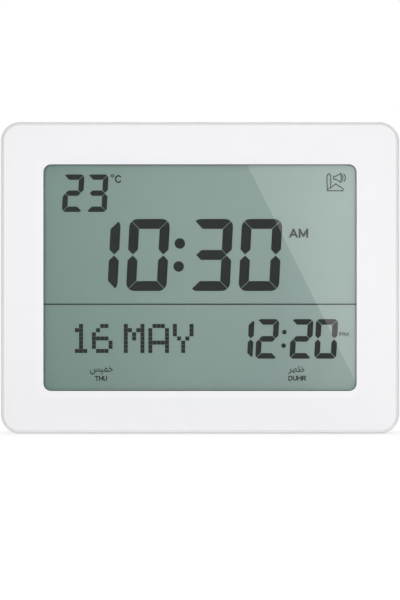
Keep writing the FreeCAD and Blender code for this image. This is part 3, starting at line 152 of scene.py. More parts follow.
def add_softbox(name, place, target, size, watts, mirrored):
    """An area lamp turned to its target, which the camera and the rays through the lens don't see."""
    data = bpy.data.lights.new(name, "AREA")
    data.shape = "RECTANGLE"
    data.size, data.size_y = size
    data.energy = watts
    lamp = bpy.data.objects.new(name, data)
    lamp.location = place
    lamp.rotation_euler = (Vector(target) - Vector(place)).to_track_quat("-Z", "Y").to_euler()
    lamp.visible_camera = False
    lamp.visible_transmission = False
    lamp.visible_glossy = mirrored
    bpy.context.scene.collection.objects.link(lamp)


def light_room():
    """Even room light. The camera sees a plain white backdrop in its place."""
    world = bpy.data.worlds.new("studio")
    bpy.context.scene.world = world
    tree = emptied(world)
    path = add_node(tree, "LightPath")
    room = add_node(tree, "Background", Color=ROOM_COLOUR, Strength=ROOM_STRENGTH)
    backdrop = add_node(tree, "Background", Color=WHITE, Strength=1.0)
    mix_by(tree, path.outputs["Is Camera Ray"], room, backdrop, add_node(tree, "OutputWorld"))


def stage_sheet(name, corners):
    """One face that belongs to the stage, with an empty material of the same name."""
    mesh = bpy.data.meshes.new(name)
    mesh.from_pydata(corners, [], [(0, 1, 2, 3)])
    sheet = bpy.data.objects.new(name, mesh)
    bpy.context.scene.collection.objects.link(sheet)
    paint = bpy.data.materials.new(name)
    mesh.materials.append(paint)
    return sheet, emptied(paint)


def make_floor():
    """A pale floor. The camera sees it glowing nearly white, with a painted shadow that darkens it close to
    the clock, and faintly glossy.
    """
    far = FLOOR_REACH
    floor, tree = stage_sheet("floor", [(-far, -far, 0), (far, -far, 0), (far, far, 0), (-far, far, 0)])
    floor.location.z = cad_low.z - FLOOR_DROP
    floor.visible_glossy = False
    floor.visible_transmission = False
    path = add_node(tree, "LightPath")
    matte = add_node(tree, "BsdfDiffuse", Color=FLOOR_COLOUR)
    # A painted shadow: the glow dims where ambient occlusion finds the clock close by.
    corner = add_node(tree, "AmbientOcclusion", Distance=SHADE_REACH)
    shade = add_node(tree, "MapRange", To_Min=SHADE_DARKEST, To_Max=SHADE_PALEST)
    glow = add_node(tree, "Emission", Color=WHITE)
    gloss = add_node(tree, "BsdfGlossy", Color=FLOOR_GLOSS, Roughness=FLOOR_ROUGHNESS)
    seen = add_node(tree, "AddShader")
    tree.links.new(corner.outputs["AO"], shade.inputs["Value"])
    tree.links.new(shade.outputs["Result"], glow.inputs["Strength"])
    tree.links.new(glow.outputs[0], seen.inputs[0])
    tree.links.new(gloss.outputs[0], seen.inputs[1])
    mix_by(tree, path.outputs["Is Camera Ray"], matte, seen, add_node(tree, "OutputMaterial"))


def make_reflected_card():
    """A bright card behind the camera, seen only in the lens. Its slanted edge draws the glare."""
    grow = 1 + (CAMERA_DISTANCE + CARD_BEHIND) / CAMERA_DISTANCE
    depth = FACE - CAMERA_DISTANCE - CARD_BEHIND

    def cast(across, up):
        """Where a point of the window's plane, in shares of the window, lands on the card."""
        x = (2 * across - 1) * WINDOW[0]
        z = CASE_MIDDLE + (2 * up - 1) * WINDOW[1]
        return x * grow, depth, CAMERA_HEIGHT + (z - CAMERA_HEIGHT) * grow

    slope = (GLARE_SIDE[0] - GLARE_TOP[0]) / (GLARE_TOP[1] - GLARE_SIDE[1])
    corners = [cast(GLARE_SIDE[0] - slope * (up - GLARE_SIDE[1]), up) for up in (CARD_LOW, CARD_HIGH)]
    corners += [cast(CARD_RIGHT, CARD_HIGH), cast(CARD_RIGHT, CARD_LOW)]
    card, tree = stage_sheet("glare_card", corners)
    for sight in ("camera", "diffuse", "shadow", "volume_scatter"):
        setattr(card, f"visible_{sight}", False)
    light, out = add_node(tree, "Emission", Strength=CARD_STRENGTH), add_node(tree, "OutputMaterial")
    tree.links.new(light.outputs[0], out.inputs[0])


for lamp in LAMPS:
    add_softbox(*lamp)
light_room()
make_floor()
make_reflected_card()


# Materials.


class Paint:
    """A Principled material whose colour, roughness and bump come from small nodes in object space."""

    def __init__(self, name, colour, roughness, metallic=0.0, specular=0.5):
        self.material = bpy.data.materials.new(name)
        self.material.use_nodes = True
        self.tree = self.material.node_tree
        self.shader = self.tree.nodes["Principled BSDF"]
        self.shader.inputs["Base Color"].default_value = (*colour, 1)
        self.shader.inputs["Roughness"].default_value = roughness
        self.shader.inputs["Metallic"].default_value = metallic
        self.shader.inputs["Specular IOR Level"].default_value = specular
        self.colour, self.roughness = colour, roughness
        self.place = self.tree.nodes.new("ShaderNodeTexCoord").outputs["Object"]
        self.height = None

    def node(self, kind, **settings):
        """A node with its attributes set by name, and its inputs by index as in0, in1 and so on."""
        made = self.tree.nodes.new(f"ShaderNode{kind}")
        for name, value in settings.items():
            target = made.inputs[int(name[2:])] if name[:2] == "in" and name[2:].isdigit() else None
            if target is None:
                setattr(made, name, value)
            elif isinstance(value, bpy.types.NodeSocket):
                self.tree.links.new(value, target)
            else:
                target.default_value = value
        return made

    def calc(self, operation, *values):
        """The result of a Math node."""
        inputs = {f"in{i}": value for i, value in enumerate(values)}
        return self.node("Math", operation=operation, **inputs).outputs[0]

    def axes(self):
        """The place's coordinates along x, y and z."""
        return self.node("SeparateXYZ", in0=self.place).outputs

    def noise(self, scale, detail=3.0, stretch=(1, 1, 1)):
        """Noise of so many grains to the metre, stretched along an axis."""
        shaped = self.node("Mapping", in0=self.place, in3=stretch).outputs[0]
        texture = self.node("TexNoise")
        self.tree.links.new(shaped, texture.inputs["Vector"])
        texture.inputs["Scale"].default_value = scale
        texture.inputs["Detail"].default_value = detail
        return texture.outputs["Fac"]

    def spread(self, source, low, high):
        """A noise's usual range, 0.3 to 0.7, spread between two values."""
        return self.ranged(source, 0.3, 0.7, low, high)

    def ranged(self, source, start, end, low, high):
        """A value's run from start to end, turned into a run from low to high."""
        return self.node("MapRange", in0=source, in1=start, in2=end, in3=low, in4=high).outputs[0]

    def blend(self, share, first, second):
        """A colour between two, by a share."""

        def with_alpha(colour):
            return colour if isinstance(colour, bpy.types.NodeSocket) else (*colour, 1)

        inputs = {"in0": share, "in6": with_alpha(first), "in7": with_alpha(second)}
        return self.node("Mix", data_type="RGBA", **inputs).outputs[2]

    def colour_from(self, socket):
        """The colour that a node gives."""
        self.tree.links.new(socket, self.shader.inputs["Base Color"])
        return self

    def mottle(self, amount, scale=90.0):
        """Slight unevenness of the colour."""
        share = self.spread(self.noise(scale), 0.0, 1.0)
        darker = tuple(c * (1 - amount) for c in self.colour)
        return self.colour_from(self.blend(share, darker, self.colour))

    def uneven_gloss(self, amount, scale=120.0):
        """Slight unevenness of the sheen."""
        sheen = self.spread(self.noise(scale), self.roughness - amount, self.roughness + amount)
        self.tree.links.new(sheen, self.shader.inputs["Roughness"])
        return self

    def bump(self, source, depth):
        """Relief of a depth in metres, on top of what relief there is."""
        made = self.node("Bump")
        made.inputs["Strength"].default_value = 1.0
        made.inputs["Distance"].default_value = depth
        self.tree.links.new(source, made.inputs["Height"])
        if self.height is not None:
            self.tree.links.new(self.height, made.inputs["Normal"])
        self.height = made.outputs[0]
        self.tree.links.new(self.height, self.shader.inputs["Normal"])
        return self

    def grain(self, scale, depth, stretch=(1, 1, 1)):
        """Fine relief all over."""
        return self.bump(self.noise(scale, 2.0, stretch), depth)


def plastic(name, colour, roughness, grain=2500.0, depth=0.00002):
    """Moulded plastic with a fine spark-eroded grain and slightly uneven sheen."""
    return Paint(name, colour, roughness).mottle(0.02).uneven_gloss(0.05).grain(grain, depth)


def metal(name, colour, roughness, stretch=(1, 1, 12)):
    """Plated or drawn metal with fine lines."""
    paint = Paint(name, colour, roughness, 1.0).mottle(0.1, 300)
    return paint.uneven_gloss(0.08, 500).grain(1500, 0.00001, stretch)


def beyond(paint, half_width, half_height, corner):
    """How far a point lies outside a rounded rectangle round the face's middle. It is negative inside."""
    x, _, z = paint.axes()
    gaps = []
    for place, middle, half in ((x, 0.0, half_width), (z, CASE_MIDDLE, half_height)):
        aside = paint.calc("ABSOLUTE", paint.calc("SUBTRACT", place, middle))
        gaps.append(paint.calc("SUBTRACT", aside, half - corner))
    squares = [paint.calc("POWER", paint.calc("MAXIMUM", gap, 0.0), 2.0) for gap in gaps]
    outside = paint.calc("SQRT", paint.calc("ADD", *squares))
    inside = paint.calc("MINIMUM", paint.calc("MAXIMUM", *gaps), 0.0)
    return paint.calc("SUBTRACT", paint.calc("ADD", outside, inside), corner)


CASE_WHITE = (0.824, 0.824, 0.835)
CASE_WHITE_RANGE = ((0.818, 0.818, 0.829), (0.829, 0.829, 0.840))
SLOPE_PAINTED_LIGHT, SLOPE_WIDTH = (0.840, 0.832, 0.858), 4.0 * MM  # painted light: a lighter, cooler band on the slope round the window
RIM_PAINTED_HIGHLIGHT, RIM_WIDTH = (0.90, 0.90, 0.91), 0.35 * MM  # painted highlight: a bright line along the slope's edge at the window
GLINT_WHITE, GLINT_WIDTH = (0.85, 0.85, 0.86), 2.5 * MM  # painted highlight: a thin pale line inside the outer edge
STRIP_PAINTED_SHADE, STRIP_WIDTH = (0.65, 0.65, 0.655), 1.95 * MM  # painted shade: the darker outer edge
# Painted shade on the rounded sides, and painted light near the underside.
SIDE_PAINTED_SHADE, UNDERSIDE_PAINTED_LIGHT = (0.765, 0.765, 0.77), (0.85, 0.85, 0.855)
UNDERSIDE_HEIGHT = 5 * MM
FRONT_DEPTH = 0.5 * MM  # what lies less deep than this counts as the front
ROUNDED_DEPTH = 0.08 * MM  # where the front's rounded edge begins


def face_white():
    """The case's satin white, with painted light and shade: a lighter, cooler band and a bright rim painted
    on the slope round the window, a painted highlight and painted shade along the outer edge, and painted
    shade on the rounded sides that turns to painted light near the underside.
    """
    paint = Paint("white_case", CASE_WHITE, 0.36)
    _, y, z = paint.axes()
    away = beyond(paint, *WINDOW, WINDOW_CORNER)
    edge = beyond(paint, cad_high.x, CASE_MIDDLE, CASE_CORNER)
    facing = paint.calc("LESS_THAN", y, FACE + FRONT_DEPTH)
    shade = paint.blend(paint.spread(paint.noise(60), 0, 1), *CASE_WHITE_RANGE)
    # Painted light on the slope round the window, and a painted highlight at its rim.
    for width, white in ((SLOPE_WIDTH, SLOPE_PAINTED_LIGHT), (RIM_WIDTH, RIM_PAINTED_HIGHLIGHT)):
        near = paint.calc("MULTIPLY", paint.calc("LESS_THAN", away, width), facing)
        shade = paint.blend(near, shade, white)
    # A painted highlight inside the outer edge, then painted shade along it.
    for width, white in ((GLINT_WIDTH, GLINT_WHITE), (STRIP_WIDTH, STRIP_PAINTED_SHADE)):
        shade = paint.blend(paint.calc("GREATER_THAN", edge, -width), shade, white)
    # Painted shade on the rounded sides, and painted light near the underside.
    underside = paint.calc("LESS_THAN", z, cad_low.z + UNDERSIDE_HEIGHT)
    side = paint.blend(underside, SIDE_PAINTED_SHADE, UNDERSIDE_PAINTED_LIGHT)
    rounded = paint.calc("GREATER_THAN", y, FACE + ROUNDED_DEPTH)
    outer = paint.calc("MULTIPLY", rounded, paint.calc("GREATER_THAN", away, 2 * SLOPE_WIDTH))
    shade = paint.blend(outer, shade, side)
    seam = paint.calc("GREATER_THAN", y, PARTING - SEAM_HALF)
    paint.colour_from(paint.blend(seam, shade, SEAM_SHADE))
    return paint.uneven_gloss(0.05).grain(2600, 0.000015)


BACK_WHITE = (0.85, 0.85, 0.862)
BACK_WHITE_DIM = (0.835, 0.835, 0.847)
ARROW_SHADE = (0.62, 0.62, 0.63)
ARROW_TIP = 17 * MM  # below the door's top
ARROW_HEIGHT = 5.5 * MM
ARROW_SLANT = 0.62  # half the arrow's width to its height
ARROW_DEPTH = 0.0003


def back_white(name):
    """The rear shell's plainer white, with a coarser eroded texture."""
    return Paint(name, BACK_WHITE, 0.5).mottle(0.025, 40).uneven_gloss(0.06).grain(1400, 0.00004)


def uneven_back(paint):
    """A back white's colour, slightly uneven."""
    return paint.blend(paint.spread(paint.noise(40), 0, 1), BACK_WHITE_DIM, BACK_WHITE)


def cover_white():
    """The rear cover, whose joint with the front shell is a thin shaded line."""
    paint = back_white("white_cover")
    seam = paint.calc("LESS_THAN", paint.axes()[1], PARTING + SEAM_HALF)
    return paint.colour_from(paint.blend(seam, uneven_back(paint), SEAM_SHADE)).grain(4200, 0.00002)


def door_white():
    """The battery door, with a sunk arrow that points to its latch."""
    paint = back_white("white_door")
    x, y, z = paint.axes()
    beside = paint.calc("ABSOLUTE", paint.calc("SUBTRACT", x, (DOOR_LOW.x + DOOR_HIGH.x) / 2))
    below = paint.calc("SUBTRACT", DOOR_HIGH.z - ARROW_TIP, z)
    inside = paint.calc("LESS_THAN", beside, paint.calc("MULTIPLY", below, ARROW_SLANT))
    arrow = paint.calc("MULTIPLY", inside, paint.calc("LESS_THAN", below, ARROW_HEIGHT))
    arrow = paint.calc("MULTIPLY", arrow, paint.calc("GREATER_THAN", y, DOOR_HIGH.y - FRONT_DEPTH))
    paint.colour_from(paint.blend(arrow, uneven_back(paint), ARROW_SHADE))
    return paint.bump(paint.calc("SUBTRACT", 1.0, arrow), ARROW_DEPTH)


LEAD_RED, LEAD_BLACK = (0.42, 0.02, 0.015), (0.012, 0.012, 0.013)
LEAD_REACH = 2.2 * MM  # the cells' black lead lies this close to the pair's left end


def lead_colours():
    """Insulated leads: red on one side of each pair, black on the other."""
    paint = Paint("lead_cover", LEAD_RED, 0.4)
    x = paint.axes()[0]
    sounder = paint.calc("MULTIPLY", paint.calc("LESS_THAN", x, 0), paint.calc("GREATER_THAN", x, SOUNDER_X))
    cells = paint.calc("GREATER_THAN", x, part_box("battery_leads")[0].x + LEAD_REACH)
    red = paint.calc("MAXIMUM", sounder, cells)
    return paint.colour_from(paint.blend(red, LEAD_BLACK, LEAD_RED)).grain(2000, 0.00002)


FILM_COLOUR = (0.235, 0.322, 0.29)
# The film's colour, with painted light that makes it paler from the window's left side to its right: share
# of the width, colour.
FILM_PAINTED_LIGHT_STOPS = [
    (0.0, (0.180, 0.272, 0.240)),
    (0.45, (0.237, 0.328, 0.297)),
    (0.75, (0.250, 0.338, 0.310)),
    (1.0, (0.317, 0.407, 0.379)),
]
FILM_PAINTED_SHADE_BELOW = 0.8  # painted shade: the film darkens downwards from this share of the window's height
FILM_PAINTED_SHADE_DARKEST, FILM_PAINTED_SHADE_LIGHTEST = 0.89, 0.99
SPARKLE = (0.97, 1.03)


def display_film():
    """The reflective display behind its polariser: grey-green, with painted light that makes it paler to the
    right, painted shade that darkens it downwards, and a faint sparkle.
    """
    paint = Paint("display_film", FILM_COLOUR, 0.5, specular=0.2)
    x, _, z = paint.axes()
    across = paint.ranged(x, -WINDOW[0], WINDOW[0], 0.0, 1.0)
    up = paint.ranged(z, CASE_MIDDLE - WINDOW[1], CASE_MIDDLE + WINDOW[1], 0.0, 1.0)
    # Painted light: the film grows paler to the right.
    ramp_with_painted_light = paint.node("ValToRGB", in0=across)
    while len(ramp_with_painted_light.color_ramp.elements) < len(FILM_PAINTED_LIGHT_STOPS):
        ramp_with_painted_light.color_ramp.elements.new(1.0)
    for element, (place, colour) in zip(ramp_with_painted_light.color_ramp.elements, FILM_PAINTED_LIGHT_STOPS):
        element.position = place
        element.color = (*colour, 1)
    # Painted shade: the film grows darker downwards.
    painted_shade_and_sparkle = paint.ranged(up, 0.0, FILM_PAINTED_SHADE_BELOW, FILM_PAINTED_SHADE_DARKEST, FILM_PAINTED_SHADE_LIGHTEST)
    painted_shade_and_sparkle = paint.calc("MULTIPLY", painted_shade_and_sparkle, paint.spread(paint.noise(9000, 1.0), *SPARKLE))
    shade = paint.node("VectorMath", operation="SCALE", in0=ramp_with_painted_light.outputs[0])
    paint.tree.links.new(painted_shade_and_sparkle, shade.inputs["Scale"])
    return paint.colour_from(shade.outputs[0]).grain(6000, 0.000004)


def lens_clear():
    """Clear acrylic that lets lamps through to the display."""
    paint = Paint("lens_clear", (0.995, 1, 0.998), 0.0)
    paint.shader.inputs["IOR"].default_value = 1.49
    paint.shader.inputs["Transmission Weight"].default_value = 1.0
    tree = paint.tree
    path, clear = add_node(tree, "LightPath"), add_node(tree, "BsdfTransparent")
    through = paint.calc("MAXIMUM", path.outputs["Is Shadow Ray"], path.outputs["Is Diffuse Ray"])
    mix_by(tree, through, paint.shader, clear, tree.nodes["Material Output"])
    return paint


def stripes(paint, pitch, share, second):
    """A second colour in upright bands, which fill a share of each pitch."""
    phase = paint.calc("FRACT", paint.calc("DIVIDE", paint.axes()[0], pitch))
    return paint.colour_from(paint.blend(paint.calc("LESS_THAN", phase, share), paint.colour, second))


MASK_GREEN, TRACK_GREEN, PAD_TIN = (0.018, 0.115, 0.045), (0.032, 0.19, 0.075), (0.55, 0.55, 0.52)
PATCH = (17, 11)  # width and height of a patch of tracks, in millimetres
TRACK_PITCH, TRACK_SHARE = 1.27, 0.3
PAD_PITCH, PAD_RADIUS = 5.08, 0.11  # the pitch in millimetres, the radius in shares of it
LEVEL_BELOW, UPRIGHT_ABOVE, PADS_ABOVE = 0.38, 0.62, 0.5  # which patches, by chance, have what


def board_green():
    """Solder mask over patches of parallel copper tracks, with tinned pads here and there."""
    paint = Paint("board_green", MASK_GREEN, 0.35)
    x, _, z = paint.axes()

    def steps(place, pitch):
        return paint.calc("DIVIDE", place, pitch * MM)

    def tracks_along(place, has_tracks):
        on_track = paint.calc("LESS_THAN", paint.calc("FRACT", steps(place, TRACK_PITCH)), TRACK_SHARE)
        return paint.calc("MULTIPLY", on_track, has_tracks)

    corner = [paint.calc("FLOOR", steps(place, size)) for place, size in zip((x, z), PATCH)]
    patch = paint.node("CombineXYZ", in0=corner[0], in1=corner[1])
    chance = paint.node("TexWhiteNoise", noise_dimensions="3D", in0=patch.outputs[0]).outputs["Value"]
    level = tracks_along(z, paint.calc("LESS_THAN", chance, LEVEL_BELOW))
    upright = tracks_along(x, paint.calc("GREATER_THAN", chance, UPRIGHT_ABOVE))
    tracks = paint.calc("MAXIMUM", level, upright)
    shares = [paint.calc("FRACT", steps(place, PAD_PITCH)) for place in (x, z)]
    squares = [paint.calc("POWER", paint.calc("SUBTRACT", share, 0.5), 2.0) for share in shares]
    away = paint.calc("SQRT", paint.calc("ADD", *squares))
    pads = paint.calc("LESS_THAN", away, PAD_RADIUS)
    pads = paint.calc("MULTIPLY", pads, paint.calc("GREATER_THAN", chance, PADS_ABOVE))
    mask = paint.blend(tracks, paint.colour, TRACK_GREEN)
    paint.colour_from(paint.blend(pads, mask, PAD_TIN))
    return paint.bump(paint.calc("MAXIMUM", tracks, pads), 0.00004)


# The paint of each material slot. After a colour come its roughness, and a grain's scale and depth.
PAINTS = {
    "white_shell": face_white(),
    "key_plastic": plastic("key_grey", (0.42, 0.435, 0.455), 0.42),
    "plunger_plastic": plastic("plunger_black", (0.012, 0.012, 0.013), 0.35),
    "lens": lens_clear(),
    # Dark tape round the display. Its thin edge inside the window also stands in for the shade line along
    # the window's edge: painted shade.
    "dark_tape": Paint("tape_dark_and_edge_shade", (0.06, 0.085, 0.082), 0.6).mottle(0.1, 800),
    "foam": Paint("foam_black", (0.02, 0.02, 0.021), 0.9).mottle(0.3, 2500).grain(3500, 0.0002),
    "film": display_film(),
    "glass": Paint("glass_edge", (0.5, 0.62, 0.58), 0.08).mottle(0.05, 40),
    "seal": plastic("seal_epoxy", (0.5, 0.52, 0.48), 0.4),
    "reflector": Paint("reflector_grey", (0.3, 0.36, 0.33), 0.3).mottle(0.05, 700),
    "segments": Paint("marks_dark", (0.004, 0.009, 0.006), 0.55, specular=0.2).mottle(0.08, 2500),
    "frame_plastic": plastic("frame_white", (0.62, 0.62, 0.6), 0.45),
    "zebra": stripes(Paint("strip_rubber", (0.5, 0.42, 0.46), 0.6), 0.0002, 0.5, (0.03, 0.03, 0.03)),
    "board": board_green(),
    "black_resin": plastic("resin_black", (0.01, 0.01, 0.011), 0.28, 1200, 0.00005),
    "can_metal": metal("can_bright", (0.72, 0.72, 0.73), 0.2, (12, 1, 1)),
    "capacitor_sleeve": plastic("sleeve_blue", (0.012, 0.02, 0.09), 0.25),
    "sensor_bead": plastic("bead_brown", (0.05, 0.022, 0.01), 0.3),
    "switch_case": plastic("switch_black", (0.014, 0.014, 0.014), 0.4),
    "spring_steel": metal("nickel_plate", (0.62, 0.61, 0.58), 0.28),
    "ribbon": stripes(Paint("ribbon_grey", (0.36, 0.36, 0.37), 0.5), 0.00127, 0.14, (0.2, 0.2, 0.21)),
    "screw_steel": metal("zinc_plate", (0.52, 0.52, 0.54), 0.3, (1, 8, 1)),
    "surround": Paint("surround_black", (0.015, 0.015, 0.016), 0.5).mottle(0.2, 400).grain(900, 0.0001),
    "cone_paper": Paint("cone_black", (0.022, 0.022, 0.024), 0.85).mottle(0.4, 1800).grain(2400, 0.0001),
    "magnet": Paint("ferrite", (0.03, 0.03, 0.032), 0.6).mottle(0.3, 600).grain(1500, 0.00008),
    "lead": lead_colours(),
    "socket_plastic": plastic("socket_ivory", (0.66, 0.63, 0.52), 0.4),
    "pad_rubber": Paint("rubber_black", (0.02, 0.02, 0.02), 0.7).mottle(0.2, 500).grain(1800, 0.00005),
}


CELL_COUNT = 3
SLEEVE_BLUE, RING_GREY, CELL_STEEL = (0.035, 0.075, 0.12), (0.5, 0.52, 0.53), (0.6, 0.6, 0.6)
RING_START, RING_END = 14 * MM, 9 * MM  # the pale ring, measured back from the cell's nub
SLEEVE_START, SLEEVE_END = 0.9 * MM, 3.5 * MM  # the bare metal at the cell's flat end and at its nub


def cell_sleeve():
    """A plain printed sleeve: slate blue with a pale ring near one end, and bare metal ends."""
    paint = Paint("cell_sleeve", SLEEVE_BLUE, 0.3)
    x, _, z = paint.axes()
    low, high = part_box("cells")
    half_cell = (high.z - low.z) / (2 * CELL_COUNT)
    off_middle = paint.calc("ABSOLUTE", paint.calc("SUBTRACT", z, (low.z + high.z) / 2))
    middle_cell = paint.calc("LESS_THAN", off_middle, half_cell)
    turned = paint.calc("SUBTRACT", low.x + high.x, x)
    along = paint.node("Mix", data_type="FLOAT", in0=middle_cell, in2=x, in3=turned).outputs[0]

    def between(start, end):
        past = paint.calc("GREATER_THAN", along, start)
        return paint.calc("MULTIPLY", past, paint.calc("LESS_THAN", along, end))

    shade = paint.blend(between(high.x - RING_START, high.x - RING_END), paint.colour, RING_GREY)
    sleeve = between(low.x + SLEEVE_START, high.x - SLEEVE_END)
    paint.colour_from(paint.blend(sleeve, CELL_STEEL, shade))
    paint.tree.links.new(paint.calc("SUBTRACT", 1.0, sleeve), paint.shader.inputs["Metallic"])
    return paint.uneven_gloss(0.05, 200).grain(400, 0.00003)


PAINTS["cell_can"] = cell_sleeve()

# These nodes share the shells' slot, and each has a paint of its own.
SHELL_PAINTS = {
    "rear_cover": cover_white(),
    "battery_door": door_white(),
    "stand_leg": back_white("white_leg"),
}


def paint_nodes():
    """Each CAD node takes the paint of its material slot."""
    for part in frame["record"]["subparts"]:
        piece = nodes[part["node"]]
        paint = SHELL_PAINTS.get(part["node"]) or PAINTS[part["material_slot"]]
        piece.data.materials.clear()
        piece.data.materials.append(paint.material)


paint_nodes()


# Small marks on the display.

TOUCHING = 1e-6
SHARP_CORNER = math.radians(50)
NARROWEST_MITRE = 0.45


def add_piece(name, mesh, body, paint=None):
    """A new piece in the row's frame, riding on a body. A mesh without a paint has its materials already."""
    if paint:
        mesh.materials.clear()
        mesh.materials.append(paint.material)
    piece = bpy.data.objects.new(name, mesh)
    bpy.context.scene.collection.objects.link(piece)
    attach(piece, body)
    return piece


def on_window(left, base):
    """A point on the front of the marks, in millimetres from the window's lower left corner."""
    return WINDOW_LOW + Vector((left * MM, 0, base * MM))


def on_display(name, mesh):
    """A flat drawing given the thickness of the display's marks."""
    thicken(mesh, MARKS_HIGH.y - MARKS_LOW.y)
    return add_piece(name, mesh, "case", PAINTS["segments"])


def thicken(mesh, depth):
    """A flat drawing that stands in the X-Z plane, given a depth along Y."""
    drawing = bmesh.new()
    drawing.from_mesh(mesh)
    made = bmesh.ops.extrude_face_region(drawing, geom=list(drawing.faces))
    for item in made["geom"]:
        if isinstance(item, bmesh.types.BMVert):
            item.co.y += depth
    bmesh.ops.recalc_face_normals(drawing, faces=drawing.faces)
    drawing.to_mesh(mesh)
    drawing.free()


def is_closed(path):
    """Whether a line ends where it starts."""
    return (path[0] - path[-1]).length < TOUCHING


def lengthen(points, extra):
    """An open line made longer at both ends, so that its band has square caps. A closed line stays."""
    path = [Vector(p) for p in points]
    if is_closed(path):
        return path
    first = path[0] + (path[0] - path[1]).normalized() * extra
    last = path[-1] + (path[-1] - path[-2]).normalized() * extra
    return [first, *path[1:-1], last]


def cut_at_corners(points, reach):
    """A line cut at its sharp corners. Its parts are longer there by the reach, which fills the corners."""
    path = [Vector(p) for p in points]
    end = len(path) - 1
    sharp = [i for i in range(1, end) if (path[i] - path[i - 1]).angle(path[i + 1] - path[i]) > SHARP_CORNER]
    if not sharp:
        return [path]
    cuts = [0, *sharp, end]
    parts = [lengthen(path[start : stop + 1], reach) for start, stop in zip(cuts, cuts[1:])]
    if not is_closed(path):
        parts[0][0] = path[0]
        parts[-1][-1] = path[-1]
    return parts


def band_sides(path, width):
    """The right and left edge of a band at each point of its line, mitred where the line turns."""
    closed = is_closed(path)
    end = len(path) - 1
    for i, p in enumerate(path):
        before = path[-2] if closed and i == 0 else path[max(i - 1, 0)]
        after = path[1] if closed and i == end else path[min(i + 1, end)]
        into, out = (p - before).normalized(), (after - p).normalized()
        along = (into + out).normalized()
        mitre = 1 / max(along.dot(out if out.length else into), NARROWEST_MITRE)
        side = Vector((-along.y, along.x)) * width / 2 * mitre
        yield p - side, p + side


def draw_bands(name, lines, place=on_window):
    """A mesh of flat bands along lines of points, in millimetres. A line is (points, width)."""
    corners, faces = [], []
    for points, width in lines:
        for path in cut_at_corners(points, width / 2):
            first = len(corners)
            for sides in band_sides(path, width):
                corners += [tuple(place(*side)) for side in sides]
            faces += [(k, k + 2, k + 3, k + 1) for k in range(first, len(corners) - 2, 2)]
    mesh = bpy.data.meshes.new(name)
    mesh.from_pydata(corners, [], faces)
    return mesh


def arc(middle, radii, start, end, steps=14):
    """Points along an ellipse, by angles in degrees from the right, counter-clockwise."""
    turns = [math.radians(start + (end - start) * i / steps) for i in range(steps + 1)]
    return [(middle[0] + radii[0] * math.cos(t), middle[1] + radii[1] * math.sin(t)) for t in turns]


LETTER_GAP = 0.14  # between letters, as a share of their height

# Plain capitals: the width as a share of the height, and lines in shares of the letter's own box.
LETTERS = {
    "A": (0.92, [[(0, 0), (0.5, 1), (1, 0)], [(0.3, 0.3), (0.7, 0.3)]]),
    "C": (0.85, [arc((0.52, 0.5), (0.5, 0.5), 42, 318, 20)]),
    "D": (
        0.85,
        [[(0, 0), (0, 1), (0.45, 1), *arc((0.5, 0.5), (0.5, 0.5), 80, -80), (0.45, 0), (0, 0)]],
    ),
    "E": (0.72, [[(1, 1), (0, 1), (0, 0), (1, 0)], [(0, 0.52), (0.88, 0.52)]]),
    "H": (0.85, [[(0, 0), (0, 1)], [(1, 0), (1, 1)], [(0, 0.52), (1, 0.52)]]),
    "L": (0.7, [[(0, 1), (0, 0), (1, 0)]]),
    "M": (1.0, [[(0, 0), (0, 1), (0.5, 0.12), (1, 1), (1, 0)]]),
    "N": (0.85, [[(0, 0), (0, 1), (1, 0), (1, 1)]]),
    "O": (0.95, [arc((0.5, 0.5), (0.5, 0.5), 0, 360, 20)]),
    "S": (0.75, [[*arc((0.5, 0.75), (0.45, 0.25), 30, 270), *arc((0.5, 0.25), (0.5, 0.25), 80, -150)]]),
    "P": (
        0.75,
        [[(0, 0), (0, 1), (0.55, 1), *arc((0.6, 0.73), (0.4, 0.27), 80, -80), (0.55, 0.46), (0, 0.46)]],
    ),
    "T": (0.8, [[(0, 1), (1, 1)], [(0.5, 1), (0.5, 0)]]),
    "V": (0.9, [[(0, 1), (0.5, 0), (1, 1)]]),
    "W": (1.3, [[(0, 1), (0.25, 0), (0.5, 0.85), (0.75, 0), (1, 1)]]),
    "Z": (0.8, [[(0, 1), (1, 1), (0, 0), (1, 0)]]),
    "U": (0.8, [[(0, 1), *arc((0.5, 0.36), (0.5, 0.36), 180, 360), (1, 1)]]),
}
LETTERS["R"] = (0.8, [*LETTERS["P"][1], [(0.5, 0.46), (1, 0)]])


def letter_lines(words, left, base, height, width, stroke):
    """The lines of plain capitals, by their lower left corner, height, width and stroke in millimetres."""
    shares = [LETTERS[letter][0] for letter in words]
    gap = LETTER_GAP + stroke / height
    unit = (width - stroke) / (sum(shares) + gap * (len(words) - 1))
    low, rise = base + stroke / 2, height - stroke
    lines, at = [], left + stroke / 2
    for letter, share in zip(words, shares):
        for points in LETTERS[letter][1]:
            placed = [(at + x * share * unit, low + z * rise) for x, z in points]
            lines.append((lengthen(placed, stroke / 2), stroke))
        at += (share + gap) * unit
    return lines


def write_joined(name, letters, left, base, height, width):
    """An Arabic word, its joined letter shapes in order from left to right."""
    curve = bpy.data.curves.new(name, "FONT")
    curve.body = letters
    curve.offset = JOINED_WEIGHT
    curve.resolution_u = JOINED_STEPS
    text = bpy.data.objects.new(name, curve)
    bpy.context.scene.collection.objects.link(text)
    bpy.context.view_layer.update()
    mesh = bpy.data.meshes.new_from_object(text)
    bpy.data.objects.remove(text)
    low = [min(v.co[i] for v in mesh.vertices) for i in (0, 1)]
    high = [max(v.co[i] for v in mesh.vertices) for i in (0, 1)]
    wide, tall = width / (high[0] - low[0]), height / (high[1] - low[1])
    for v in mesh.vertices:
        v.co = on_window(left + (v.co.x - low[0]) * wide, base + (v.co.y - low[1]) * tall)
    on_display(name, mesh)


